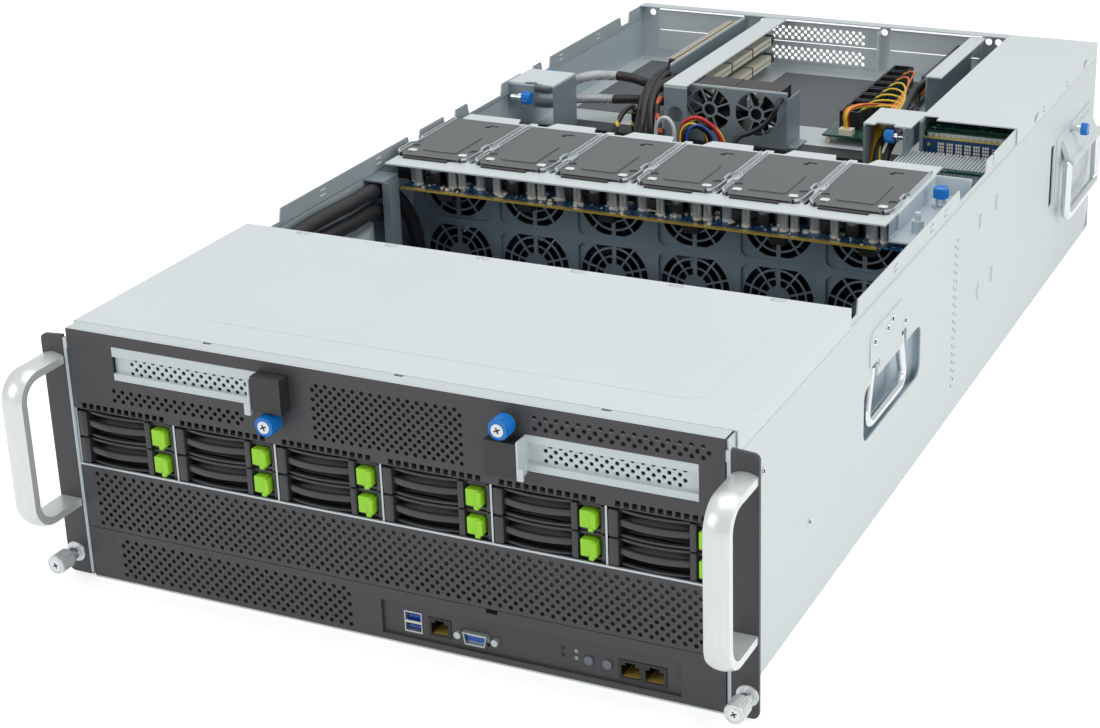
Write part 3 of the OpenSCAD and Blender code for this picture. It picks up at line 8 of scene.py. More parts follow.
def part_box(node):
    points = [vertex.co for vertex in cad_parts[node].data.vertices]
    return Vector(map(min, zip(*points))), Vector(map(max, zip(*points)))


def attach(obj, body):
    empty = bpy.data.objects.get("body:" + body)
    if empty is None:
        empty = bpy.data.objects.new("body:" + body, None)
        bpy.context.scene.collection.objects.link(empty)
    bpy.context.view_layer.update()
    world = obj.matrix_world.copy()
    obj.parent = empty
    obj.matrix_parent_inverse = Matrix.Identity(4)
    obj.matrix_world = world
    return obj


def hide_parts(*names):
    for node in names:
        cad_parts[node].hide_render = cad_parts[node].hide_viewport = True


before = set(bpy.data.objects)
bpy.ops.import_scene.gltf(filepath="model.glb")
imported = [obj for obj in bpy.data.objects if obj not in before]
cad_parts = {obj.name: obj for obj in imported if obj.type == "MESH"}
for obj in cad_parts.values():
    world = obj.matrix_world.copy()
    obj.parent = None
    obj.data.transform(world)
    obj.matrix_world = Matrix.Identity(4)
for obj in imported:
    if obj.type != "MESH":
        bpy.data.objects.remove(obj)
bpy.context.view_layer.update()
MM = 0.001
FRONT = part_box("rack_ears")[0][1]      # the ears' front face is the zero of all depths here
FLOOR_TOP = 1.2                        # the floor sheet's upper face
COLUMN = 68.096                        # from one fan column to the next
FANS_LEFT = 217.2                      # how far left of the middle the first fan column begins


def at(x, y, z):
    """A place in millimetres: across, behind the ears, above the floor."""
    return Vector((x * MM, FRONT + y * MM, z * MM))


# ---------------------------------------------------------------- shading
class Value:
    """A socket that can be used in sums."""

    def __init__(self, graph, socket):
        self.graph, self.socket = graph, socket

    def _do(self, operation, *values):
        return self.graph.node("ShaderNodeMath", {"operation": operation}, *values)

    def __add__(self, other):
        return self._do("ADD", self, other)

    def __radd__(self, other):
        return self._do("ADD", other, self)

    def __sub__(self, other):
        return self._do("SUBTRACT", self, other)

    def __rsub__(self, other):
        return self._do("SUBTRACT", other, self)

    def __mul__(self, other):
        return self._do("MULTIPLY", self, other)

    def __rmul__(self, other):
        return self._do("MULTIPLY", other, self)

    def __gt__(self, other):
        return self._do("GREATER_THAN", self, other)

    def __lt__(self, other):
        return self._do("LESS_THAN", self, other)

    def __mod__(self, other):
        return self._do("FLOORED_MODULO", self, other)

    def abs(self):
        return self._do("ABSOLUTE", self)

    def low(self, other):
        return self._do("MINIMUM", self, other)

    def root(self):
        return self._do("SQRT", self)


class Finish:
    """A material: one shader and the nodes that feed it."""

    def __init__(self, name, colour, rough=0.5, metal=0.0):
        self.material = bpy.data.materials.new(name)
        self.material.use_nodes = True
        self.tree = self.material.node_tree
        self.shader = self.tree.nodes["Principled BSDF"]
        self.set("Base Color", colour)
        self.set("Roughness", rough)
        self.set("Metallic", metal)

    def node(self, kind, settings=None, *values, out=0, **named):
        """A new node with its inputs fed, as the value of one of its outputs."""
        made = self.tree.nodes.new(kind)
        for key, value in (settings or {}).items():
            setattr(made, key, value)
        for key, value in list(enumerate(values)) + list(named.items()):
            self.feed(made.inputs[key], value)
        return Value(self, made.outputs[out])

    def feed(self, socket, value):
        if isinstance(value, Value):
            self.tree.links.new(value.socket, socket)
        elif socket.type == "RGBA" and len(value) == 3:
            socket.default_value = (*value, 1.0)
        else:
            socket.default_value = value

    def set(self, name, value):
        self.feed(self.shader.inputs[name], value)

    def place(self):
        return self.node("ShaderNodeTexCoord", out=3)

    def xyz(self):
        parts = self.tree.nodes.new("ShaderNodeSeparateXYZ")
        self.tree.links.new(self.place().socket, parts.inputs[0])
        return [Value(self, o) for o in parts.outputs]

    def noise(self, scale, detail, stretch=(1, 1, 1)):
        spot = self.node("ShaderNodeMapping", {}, self.place(), (0, 0, 0), (0, 0, 0), stretch)
        return self.node("ShaderNodeTexNoise", {}, spot, Scale=scale, Detail=detail, Roughness=0.5)

    def blend(self, share, first, second):
        made = self.tree.nodes.new("ShaderNodeMix")
        made.data_type = "RGBA"
        self.feed(made.inputs["Factor"], share)
        self.feed(made.inputs[6], first)
        self.feed(made.inputs[7], second)
        return Value(self, made.outputs[2])

    def bump(self, height, strength, distance):
        self.set("Normal", self.node("ShaderNodeBump", {}, Strength=strength,
                                     Distance=distance, Height=height))

    def inside(self, x=None, y=None, z=None, side=None):
        """1 within the given millimetres, 0 elsewhere; side is the distance from the middle plane."""
        across, deep, high = self.xyz()
        mask = None
        for value, limits, zero in ((across, x, 0), (deep, y, FRONT), (high, z, 0),
                                    (across.abs() if side else None, side, 0)):
            for is_upper, limit in enumerate(limits or ()):
                if limit is not None:
                    edge = zero + limit * MM
                    test = value < edge if is_upper else value > edge
                    mask = test if mask is None else mask * test
        return mask

    def facing(self, axis):
        """How far a face looks along an axis, from -1 to 1."""
        parts = self.tree.nodes.new("ShaderNodeSeparateXYZ")
        self.tree.links.new(self.node("ShaderNodeNewGeometry", out=1).socket, parts.inputs[0])
        return Value(self, parts.outputs[axis])

    def paint(self, mask, colour, rough=None, metal=None):
        """Another colour, gloss or metal where the mask is 1."""
        for name, value in (("Base Color", colour), ("Roughness", rough), ("Metallic", metal)):
            if value is None:
                continue
            socket = self.shader.inputs[name]
            before = Value(self, socket.links[0].from_socket) if socket.links else socket.default_value
            if name == "Base Color":
                self.set(name, self.blend(mask, before if socket.links else tuple(before), value))
            else:
                self.set(name, before * (1 - mask) + mask * value)


def tone(r, g, b):
    """A display colour in steps of 0 to 255, as linear light."""
    return tuple(((c / 255 + 0.055) / 1.055) ** 2.4 if c > 10 else c / 255 / 12.92
                 for c in (r, g, b))


def speckled(name, dark, pale, rough, metal, grain=900, stretch=(1, 1, 1), bump=0.05):
    """Paint, plate or moulding: a fine grain in colour, gloss and surface."""
    f = Finish(name, dark, rough, metal)
    fine = f.noise(grain, 2, stretch)
    broad = f.noise(14, 4)
    f.set("Base Color", f.blend(fine * 0.5 + broad * 0.5, dark, pale))
    f.set("Roughness", broad * 0.16 + (rough - 0.08))
    f.bump(fine, bump, 0.0002)
    return f


zinc = speckled("zinc plated sheet", tone(213, 221, 223), tone(221, 229, 231), 0.5, 0.15, 500)
pale_zinc = speckled("bright plated edge", tone(188, 197, 200), tone(214, 222, 224), 0.36, 0.5, 700)
charcoal = speckled("charcoal powder coat", tone(56, 56, 59), tone(74, 74, 77), 0.5, 0.0, 2400, bump=0.25)
satin = speckled("satin anodised aluminium", tone(212, 216, 217), tone(232, 236, 236), 0.34, 0.45,
                 900, (1, 1, 0.05), 0.06)
black = speckled("black moulding", tone(16, 16, 18), tone(27, 27, 30), 0.42, 0.0, 1200, bump=0.12)
rotor_black = speckled("fan blade black", tone(16, 17, 19), tone(30, 31, 34), 0.32, 0.0, 700, bump=0.06)
blue_knob = speckled("blue knob", tone(0, 108, 196), tone(12, 134, 220), 0.34, 0.0, 700, bump=0.05)
chrome = speckled("bright steel rod", tone(196, 202, 205), tone(228, 232, 234), 0.16, 0.9, 600, bump=0.02)
socket_white = speckled("cream socket", tone(226, 220, 204), tone(240, 236, 224), 0.45, 0.0, 700, bump=0.05)
lime = speckled("lime latch", tone(152, 226, 34), tone(174, 240, 56), 0.4, 0.0, 900, bump=0.05)
fin = speckled("milled fins", tone(182, 188, 190), tone(206, 211, 213), 0.36, 0.7, 700, (1, 0.1, 1), 0.08)
gold = speckled("gilded edge", tone(196, 170, 84), tone(232, 208, 120), 0.3, 0.7, 900, bump=0.03)
button_grey = speckled("grey button", tone(104, 112, 122), tone(120, 128, 138), 0.4, 0.0, 900, bump=0.05)
pcb_blue = speckled("blue circuit board", tone(8, 52, 92), tone(18, 74, 122), 0.34, 0.0, 300, bump=0.1)
pcb_green = speckled("green circuit board", tone(14, 62, 48), tone(26, 84, 66), 0.34, 0.0, 300, bump=0.1)

WHITE_PART, CREAM, GILT = tone(232, 234, 230), tone(232, 226, 208), tone(222, 192, 96)
LIT_TOP_SHEET, DARK_PART, PORT_BLUE = tone(206, 215, 217), tone(24, 24, 27), tone(28, 86, 176)
SHADED_SHEET = tone(34, 37, 40)
COLUMN_M = COLUMN * MM


def painted(finish, *areas):
    """Each area: the limits that inside() takes, then colour, roughness and metal."""
    for limits, colour, rough, metal in areas:
        finish.paint(finish.inside(**limits), colour, rough, metal)


def round_holes(finish, pitch, row, radius):
    """1 inside staggered round holes in a sheet that stands across the body, 0 elsewhere."""
    across, _, up = finish.xyz()
    squares = []
    for dx, dz in ((0, 0), (pitch / 2, row / 2)):
        x = ((across + dx * MM) % (pitch * MM)) - pitch / 2 * MM
        z = ((up + dz * MM) % (row * MM)) - row / 2 * MM
        squares.append(x * x + z * z)
    return squares[0].low(squares[1]).root() < radius * MM


# sheets: the tone changes with the place: faces in shade are painted darker, as painted shade, and tops
# paler, as painted light
bezel_sheet = speckled("bezel powder coat", tone(56, 56, 59), tone(74, 74, 77), 0.5, 0.0, 2400, bump=0.25)
# painted light: the charcoal bezel's upward faces at the top are painted pale, as lit from above
painted_lit_top = bezel_sheet.inside(z=(166, None)) * (bezel_sheet.facing(2) > 0.6)
bezel_sheet.paint(painted_lit_top, LIT_TOP_SHEET, 0.46, 0.1)

wall_sheet = speckled("side wall sheet", tone(208, 216, 217), tone(217, 225, 226), 0.5, 0.15, 500)
# painted shade: the walls' inner faces are painted darker and bluer than the outside, and darker still up
# high, though it is one plated sheet
painted(wall_sheet,
        (dict(side=(None, 223.4), z=(None, 161.6)), tone(188, 203, 210), 0.42, 0.1),
        (dict(side=(None, 221.8), z=(161.5, None)), tone(170, 182, 187), 0.42, 0.1))

rear_sheet = speckled("rear panel sheet", tone(196, 205, 209), tone(208, 216, 219), 0.46, 0.1, 500)

# painted shade and painted light: the fan cage's walls take a darker base as painted shade, the roof is
# painted pale as painted light, and a patch at the right end is painted paler
cage_sheet = speckled("fan cage sheet", tone(136, 155, 168), tone(156, 174, 186), 0.32, 0.3, 500)
painted(cage_sheet,
        (dict(z=(167.7, None)), tone(214, 223, 224), 0.42, 0.15),                        # roof
        (dict(x=(191.5, None), y=(386, None), z=(150, 167.7)), tone(196, 208, 215), 0.36, 0.1))

# painted shade and painted light: the bracket sheet takes a darker base as painted shade, with its top above
# 171.2 mm painted pale
bracket_sheet = speckled("riser bracket sheet", tone(132, 147, 155), tone(148, 162, 169), 0.38, 0.2, 500)
painted(bracket_sheet, (dict(z=(171.2, None)), tone(212, 221, 223), 0.42, 0.15))

# painted shade: the drive cage sheet is painted near-black behind its front edges, as the shade inside the
# bays; the front edges keep a plated tone
cage_edges = speckled("drive cage sheet", tone(30, 31, 33), tone(42, 43, 46), 0.5, 0.3, 700)
painted(cage_edges, (dict(y=(None, 1.4)), tone(196, 204, 207), 0.36, 0.5))
# painted light: the upward faces at the top are painted pale, as lit from above
painted_lit_top = cage_edges.inside(z=(168, None)) * (cage_edges.facing(2) > 0.5)
cage_edges.paint(painted_lit_top, LIT_TOP_SHEET, 0.46, 0.1)

SHELF_FRONT, SHELF_TOP = 652.1, 121.9
shelf_sheet = speckled("rear shelf sheet", tone(196, 205, 208), tone(210, 218, 220), 0.46, 0.3, 500)
painted(shelf_sheet,
        (dict(z=(123.3, None)), tone(98, 102, 105), 0.6, 0.0),                           # mats
        (dict(y=(None, SHELF_FRONT), z=(None, SHELF_TOP)), SHADED_SHEET, 0.4, 0.0))
# painted shade: the perforations of the shelf's front are painted near-black in place of open holes
hole_shade = shelf_sheet.inside(y=(None, SHELF_FRONT), z=(60, 116)) * round_holes(shelf_sheet, 5.2, 9, 2.1)
shelf_sheet.paint(hole_shade, tone(8, 8, 9), 0.6, 0.0)
painted(shelf_sheet, (dict(x=(-200, 143), y=(652, 676), z=(SHELF_TOP, None)), SHADED_SHEET, 0.5, 0.0))

slot_sheet = speckled("slot bracket sheet", tone(206, 216, 218), tone(214, 223, 225), 0.5, 0.15, 500)
for clamp in ((-80.1, -59), (76, 97.1)):
    painted(slot_sheet, (dict(x=clamp, y=(None, 0.6)), tone(40, 41, 43), 0.42, 0.0))

# the front sockets, from left to right
LONE_LAN, PAIR_LAN = (25.8, 42), (152, 184)
port_metal = speckled("port shells", tone(170, 176, 180), tone(200, 205, 208), 0.34, 0.6, 900, bump=0.03)
painted(port_metal,
        (dict(x=(11, 20), y=(0.5, None), z=(10.2, 21)), PORT_BLUE, 0.35, 0.0),
        (dict(x=(10, 21), z=(14.9, 16.7)), CREAM, 0.4, 0.0),
        (dict(x=LONE_LAN, y=(None, 1.4)), tone(222, 218, 204), 0.4, 0.1),
        (dict(x=PAIR_LAN, y=(None, 1.4)), tone(214, 212, 202), 0.4, 0.1),
        (dict(x=(52.2, 66), y=(0.1, None), z=(11.9, 15.7)), PORT_BLUE, 0.35, 0.0),
        (dict(x=(112, 120)), tone(14, 14, 15), 0.4, 0.0),
        (dict(x=(120, 130)), tone(150, 166, 160), 0.3, 0.0))
for span in (LONE_LAN, PAIR_LAN):
    painted(port_metal, (dict(x=span, y=(1.5, None)), tone(12, 12, 13), 0.4, 0.0))
    contacts = port_metal.inside(x=span, y=(2.5, None)) * (port_metal.facing(2) > 0.5)
    port_metal.paint(contacts, GILT, 0.4, 0.3)

# capacitors and sockets of all boards
parts_mix = speckled("board parts", tone(22, 22, 24), tone(33, 33, 36), 0.42, 0.0, 1200, bump=0.05)
in_column = (parts_mix.xyz()[0] + FANS_LEFT * MM) % COLUMN_M
on_fans = parts_mix.inside(y=(380, 437.4), z=(140, None))
parts_mix.paint(on_fans, tone(172, 182, 192), 0.3, 0.3)
parts_mix.paint(on_fans * parts_mix.inside(z=(None, 147.6)), DARK_PART, 0.4, 0.0)
parts_mix.paint(on_fans * parts_mix.inside(z=(148, 151.2)), WHITE_PART, 0.5, 0.0)
for low, high, depths in ((25.5, 40.5, (412, 426)), (53.5, 64.5, (414, 430))):
    block = on_fans * (in_column > low * MM) * (in_column < high * MM) * parts_mix.inside(y=depths)
    parts_mix.paint(block, DARK_PART, 0.4, 0.0)
SLOT_SPAN = (-88.4, -78.6)
painted(parts_mix, (dict(x=SLOT_SPAN, y=(700, 890)), CREAM, 0.45, 0.0))
contacts = ((parts_mix.xyz()[1] % (1.6 * MM)) > 0.8 * MM) * parts_mix.inside(x=(-79.4, -78.6), y=(716, 870))
for slot_z in (134, 152):
    row = contacts * parts_mix.inside(z=(slot_z + 3.2, slot_z + 4.8))
    parts_mix.paint(row, tone(60, 56, 50), 0.5, 0.0)
for depths in ((700, 714), (872, 892), (770, 773), (822, 825)):
    painted(parts_mix, (dict(x=SLOT_SPAN, y=depths), DARK_PART, 0.4, 0.0))
painted(parts_mix,
        (dict(x=(40, 66), y=(680, 696)), CREAM, 0.45, 0.0),                              # power header
        (dict(x=(129, 224), y=(577, 627), z=(137.9, 150.5)), tone(224, 231, 235), 0.3, 0.1),
        (dict(z=(None, 60)), CREAM, 0.45, 0.0))                                          # memory sockets

# boards
fan_pcb = speckled("fan board", tone(8, 52, 92), tone(20, 80, 128), 0.3, 0.0, 300, bump=0.1)
lane = fan_pcb.xyz()
tracks = ((lane[0] % (4.5 * MM)) > 3.6 * MM) * ((lane[1] % (11 * MM)) > 3 * MM)
fan_pcb.paint(tracks, tone(30, 104, 150), 0.3, 0.0)
fan_pcb.paint(fan_pcb.noise(420, 1) > 0.66, tone(196, 202, 204), 0.35, 0.3)
painted(fan_pcb, (dict(y=(None, 388)), GILT, 0.3, 0.6))

riser_pcb = speckled("riser board", tone(12, 60, 52), tone(24, 84, 70), 0.34, 0.0, 300, bump=0.1)
riser_pcb.paint(riser_pcb.noise(300, 1) > 0.68, tone(190, 196, 196), 0.35, 0.3)
painted(riser_pcb, (dict(z=(170.6, None), x=(None, 120)), tone(216, 212, 190), 0.4, 0.0))

# fan handles: bright curled rims, dark front hooks and white stops
handle_sheet = speckled("fan handle sheet", tone(78, 82, 84), tone(98, 102, 104), 0.42, 0.1, 1500, bump=0.12)
past_middle = (handle_sheet.xyz()[0] + (FANS_LEFT - COLUMN / 2) * MM) % COLUMN_M
off_middle = (past_middle - COLUMN_M).abs().low(past_middle)
rims = (off_middle > 30.2 * MM) + handle_sheet.inside(z=(171.3, None)) * (off_middle > 26.2 * MM)
handle_sheet.paint(rims, tone(206, 212, 214), 0.3, 0.6)
painted(handle_sheet, (dict(y=(None, 399.2)), DARK_PART, 0.4, 0.0))
stops = handle_sheet.inside(z=(171.2, None), y=(408, 414)) * (off_middle > 17.8 * MM) * (off_middle < 26 * MM)
handle_sheet.paint(stops, WHITE_PART, 0.4, 0.0)

FINISHES = {
    zinc: ["chassis_floor", "front_cover", "rear_cover"],
    wall_sheet: ["side_walls"],
    rear_sheet: ["rear_panel"],
    slot_sheet: ["slot_brackets"],
    shelf_sheet: ["rear_shelf"],
    cage_edges: ["drive_cage"],
    port_metal: ["front_ports"],
    parts_mix: ["board_components"],
    fan_pcb: ["fan_board"],
    riser_pcb: ["riser_boards"],
    pale_zinc: ["power_supplies"],
    charcoal: ["rack_ears", "middle_grille", "tray_door"],
    bezel_sheet: ["upper_bezel"],
    satin: ["front_handles"],
    cage_sheet: ["fan_cage"],
    bracket_sheet: ["riser_brackets"],
    handle_sheet: ["fan_handles"],
    black: ["fan_frames"] + [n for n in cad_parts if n.startswith("drive_tray")],
    rotor_black: [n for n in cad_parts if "rotor" in n],
    pcb_blue: ["gpu_baseboard", "motherboard"],
    pcb_green: ["memory_modules"],
    fin: ["heatsinks"],
    chrome: [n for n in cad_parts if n.startswith("bail")],
    button_grey: ["power_button", "id_button"],
    blue_knob: ["thumbscrews"],
}
for finish, nodes in FINISHES.items():
    for node in nodes:
        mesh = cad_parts[node].data
        if not mesh.materials:
            mesh.materials.append(finish.material)
        for i in range(len(mesh.materials)):
            mesh.materials[i] = finish.material


# ---------------------------------------------------------------- building pieces
class Piece:
    """A mesh that grows part by part and then rides on a body."""

    def __init__(self, name, *finishes):
        self.name, self.finishes, self.form = name, finishes, bmesh.new()
        self.spare = bpy.data.meshes.new("spare")

    def add(self, part, finish, soft=0.0, steps=2, angle=0.0):
        """Take a part in, its edges rounded by soft millimetres."""
        if soft:
            edges = [e for e in part.edges
                     if len(e.link_faces) == 2 and e.calc_face_angle(0) > angle]
            bmesh.ops.bevel(part, geom=edges, offset=soft * MM, offset_type="OFFSET", segments=steps,
                            profile=0.5, affect="EDGES", clamp_overlap=True, material=-1)
        for face in part.faces:
            face.material_index, face.smooth = finish, True
        part.to_mesh(self.spare)
        part.free()
        self.form.from_mesh(self.spare)
        self.spare.clear_geometry()

    def block(self, x0, x1, y0, y1, z0, z1, finish=0, soft=0.0, steps=2, bow=0.0):
        """A bar. With a bow, its middle swells towards the front."""
        low, high = at(x0, y0, z0), at(x1, y1, z1)
        part = bmesh.new()
        bmesh.ops.create_cube(part, size=1, matrix=(
            Matrix.Translation((low + high) / 2) @ Matrix.Diagonal((*(high - low), 1))))
        if bow:
            long = [e for e in part.edges if abs(e.verts[0].co.x - e.verts[1].co.x) > (x1 - x0) * 0.5 * MM]
            bmesh.ops.subdivide_edges(part, edges=long, cuts=12, use_grid_fill=True)
            middle, half = (low.x + high.x) / 2, (high.x - low.x) / 2
            for v in part.verts:
                v.co.y -= bow * MM * (1 - ((v.co.x - middle) / half) ** 2)
        self.add(part, finish, soft, steps, 0.6)

    def rod(self, start, end, radius, finish=0, sides=24, soft=0.0, ribs=0.0):
        """A turned part from start to end. With ribs, every second column of its wall is drawn in."""
        a, b = at(*start), at(*end)
        turn = (b - a).to_track_quat("Z", "Y").to_matrix().to_4x4()
        part = bmesh.new()
        bmesh.ops.create_cone(part, cap_ends=True, segments=sides, radius1=radius * MM,
                              radius2=radius * MM, depth=(b - a).length)
        if ribs:
            for v in part.verts:
                if round(math.atan2(v.co.y, v.co.x) / math.tau * sides) % 2:
                    v.co.x, v.co.y = v.co.x * (1 - ribs), v.co.y * (1 - ribs)
        part.transform(Matrix.Translation((a + b) / 2) @ turn)
        self.add(part, finish, soft, 2, 1.0)

    def finish(self, body="chassis", replaces=()):
        """Make the object, let it ride on the body and hide the CAD nodes it stands for."""
        mesh = bpy.data.meshes.new(self.name)
        self.form.to_mesh(mesh)
        self.form.free()
        bpy.data.meshes.remove(self.spare)
        for finish in self.finishes:
            mesh.materials.append(finish.material)
        mesh.set_sharp_from_angle(angle=math.radians(38))
        made = bpy.data.objects.new(self.name, mesh)
        bpy.context.scene.collection.objects.link(made)
        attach(made, body)
        if replaces:
            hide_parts(*replaces)


def cables(name, runs, finish, replaces=()):
    """Round cables: each run is a radius and its points; all of one finish in one piece."""
    curve = bpy.data.curves.new(name, "CURVE")
    curve.dimensions = "3D"
    curve.bevel_depth = 1.0 * MM
    curve.bevel_resolution = 3
    curve.resolution_u = 4
    curve.use_fill_caps = True
    for radius, *points in runs:
        line = curve.splines.new("BEZIER")
        line.bezier_points.add(len(points) - 1)
        for knot, point in zip(line.bezier_points, points):
            knot.co = at(*point)
            knot.radius = radius
            knot.handle_left_type = knot.handle_right_type = "AUTO"
    curve.materials.append(finish.material)
    made = bpy.data.objects.new(name, curve)
    bpy.context.scene.collection.objects.link(made)
    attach(made, "chassis")
    if replaces:
        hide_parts(*replaces)


def shifted(run, radius, *move):
    """The same run, thinner or thicker, moved over, but not through the floor."""
    moved = [tuple(c + m for c, m in zip(point, move)) for point in run[1:]]
    return [radius] + [(x, y, max(z, FLOOR_TOP)) for x, y, z in moved]


def from_floor(radius, x, y, *rest, to_floor=None):
    """A run that starts at the floor; with to_floor it goes down again there."""
    end = [(*to_floor, FLOOR_TOP)] if to_floor else []
    return [radius, (x, y, FLOOR_TOP), *rest, *end]


# sleeves from the left wall to the left riser
UPPER = [4.4, (-222.8, 664, 152), (-209, 664, 152), (-192, 665, 159), (-176, 669, 165.5), (-160, 688, 163),
         (-149, 698, 160), (-136, 702, 156), (-126, 709, 150), (-120, 718, 146), (-114.2, 718, 146)]
LOWER = [4.2, (-222.8, 660, 140), (-209, 660, 140), (-188, 661, 146), (-173, 667, 146.5), (-154, 684, 143),
         (-143, 692, 142), (-133, 699, 140), (-124, 712, 136.6), (-120, 719.6, 136), (-114.2, 719.6, 136)]
# sleeves along the left wall, under the cover and down to the deck
LEFT_PAIR = [[6, (-214, 175, 140), (-214, 240, 152), (-214, 330, 152), (-214, 375, 148), (-213, 410, 120),
              (-212, 424, 70), (-212, 424, 56), (-212, 424, 45)],
             [6, (-214, 175, 124), (-214, 240, 137), (-214, 330, 136), (-214, 372, 132), (-213, 396, 100),
              (-213, 404, 70), (-213, 404, 56), (-213, 404, 45)]]
# bundle up to the left riser's socket, and the cables beside it
BUNDLE = from_floor(5, -113, 640, (-113, 640, 112), (-113, 645, 131), (-115, 655, 141), (-118, 668, 150),
                    (-120, 686, 159), (-120.2, 702, 163.4), (-120.2, 714, 163.4), (-120.2, 722, 163.4))
BESIDE = from_floor(3.4, -102, 640, (-102, 640, 120), (-103, 642, 136), (-106, 650, 146), (-109, 662, 155),
                    (-109.6, 674, 160), (-108, 690, 162), (-106, 704, 161), (-107, 714, 160),
                    (-111.4, 714, 160))
STRIPED = from_floor(2.2, -92.6, 639, (-92.6, 639, 128), (-95, 641, 139), (-98.6, 646, 147),
                     (-101, 654, 154), (-101.4, 668, 158), (-101, 684, 159), (-100.6, 700, 157),
                     (-101, 716, 153), (-104.6, 724, 152), (-111.4, 724, 152))
ARC = from_floor(2.4, -122, 604, (-122, 604, 112), (-120, 605, 141), (-119.4, 614, 149),
                 (-119.4, 624, 152.5), (-120, 636, 152.5), (-123, 650, 148), (-127, 660, 142),
                 (-128, 662, 136), (-128, 662, 123.2))
# loops behind the fan wall
LOOP = from_floor(1.7, -82, 604, (-82, 604, 142), (-80, 604, 152), (-73.5, 604, 157), (-67, 604, 152),
                  (-65, 604, 142), to_floor=(-65, 604))
NEAR = from_floor(2.4, -57, 606, (-57, 606, 136), (-55, 607, 147), (-49, 609, 151), (-42, 612, 148),
                  (-36.6, 615, 138), (-36, 616, 120), to_floor=(-36, 616))
FAR = from_floor(1.8, -63, 613, (-63, 613, 140), (-60, 613.6, 151), (-52, 615, 156), (-42, 618, 153),
                 (-31, 621, 140), (-29.4, 622, 120), to_floor=(-29.4, 622))
# leads of the two auxiliary fans
FAN_LEADS = [[1.8, (-73, 657, 164.2), (-73, 651, 164.2), (-72, 646.4, 161), (-67, 646, 152),
              (-61, 645, 145), (-53, 643, 136), (-50, 639, 120), (-50, 639, FLOOR_TOP)],
             [2.4, (11, 657, 166.2), (11, 651, 166.2), (10.6, 646, 162.6), (7, 645, 155), (-1, 643, 146),
              (-11, 639, 140), (-19, 634, 137), (-22.4, 630, 128), (-23, 629, 110), (-23, 629, FLOOR_TOP)]]
# sleeves to the right riser and the lead from there to the power board
RISER = from_floor(3.2, 112, 604, (112, 604, 130), (112, 608, 146), (114, 618, 157), (114, 640, 160),
                   (108, 680, 155), (102, 720, 154), (101, 746, 160), (102.6, 756, 161.6),
                   (102.6, 770, 161.6))
BESIDE_RISER = shifted(RISER, 3.0, 8, -3, -4)[:-3] + [(104, 740, 148), (101, 752, 156), (101, 770, 157)]
HEADER = [1.6, (105.6, 770, 157), (105.6, 762, 157), (100.6, 752, 150), (90, 742, 146), (76, 722, 150),
          (62, 700, 153), (58, 690, 150), (58, 690, 137)]


def fan_out(k):
    """One of seven thin leads that part on their way to the power board's plugs."""
    return [0.9, (116 - 2.2 * k, 602 + k, 60), (116 - 2.2 * k, 602 + k, 132),
            (114 - 1.6 * k, 608 + k, 150), (112 - k, 622, 161 + 0.4 * k), (108, 650, 160),
            (100 - k, 690, 152), (90 - 2 * k, 724 + 14 * k, 150), (70, 716 + 20 * k, 150),
            (62, 716 + 20 * k, 146)]


def braided_sleeve():
    """Bright braid near the left wall, dark cloth with a red thread elsewhere."""
    weave = speckled("braided sleeve", tone(150, 158, 161), tone(246, 249, 250), 0.42, 0.1, 900, bump=0.6)
    x, y, z = weave.xyz()
    thread = 2.2 * MM
    lattice = ((x + y * 0.7 + z) % thread > thread / 2) * ((x - y * 0.7 - z) % thread > thread / 2)
    weave.paint(lattice, tone(96, 100, 103), 0.6, 0.0)
    past_braid = -156 * MM
    weave.paint((x > past_braid) + (y < FRONT + 560 * MM), tone(38, 38, 41), 0.55, 0.0)
    weave.paint((x > past_braid) * (((x + z) % (11 * MM)) > 10.2 * MM), tone(96, 48, 42), 0.55, 0.0)
    return weave


def wire_finish(name, r, g, b):
    return speckled(name + " wire", tone(r, g, b), tone(*(min(255, v + 18) for v in (r, g, b))),
                    0.36, 0.0, 500, bump=0.03)


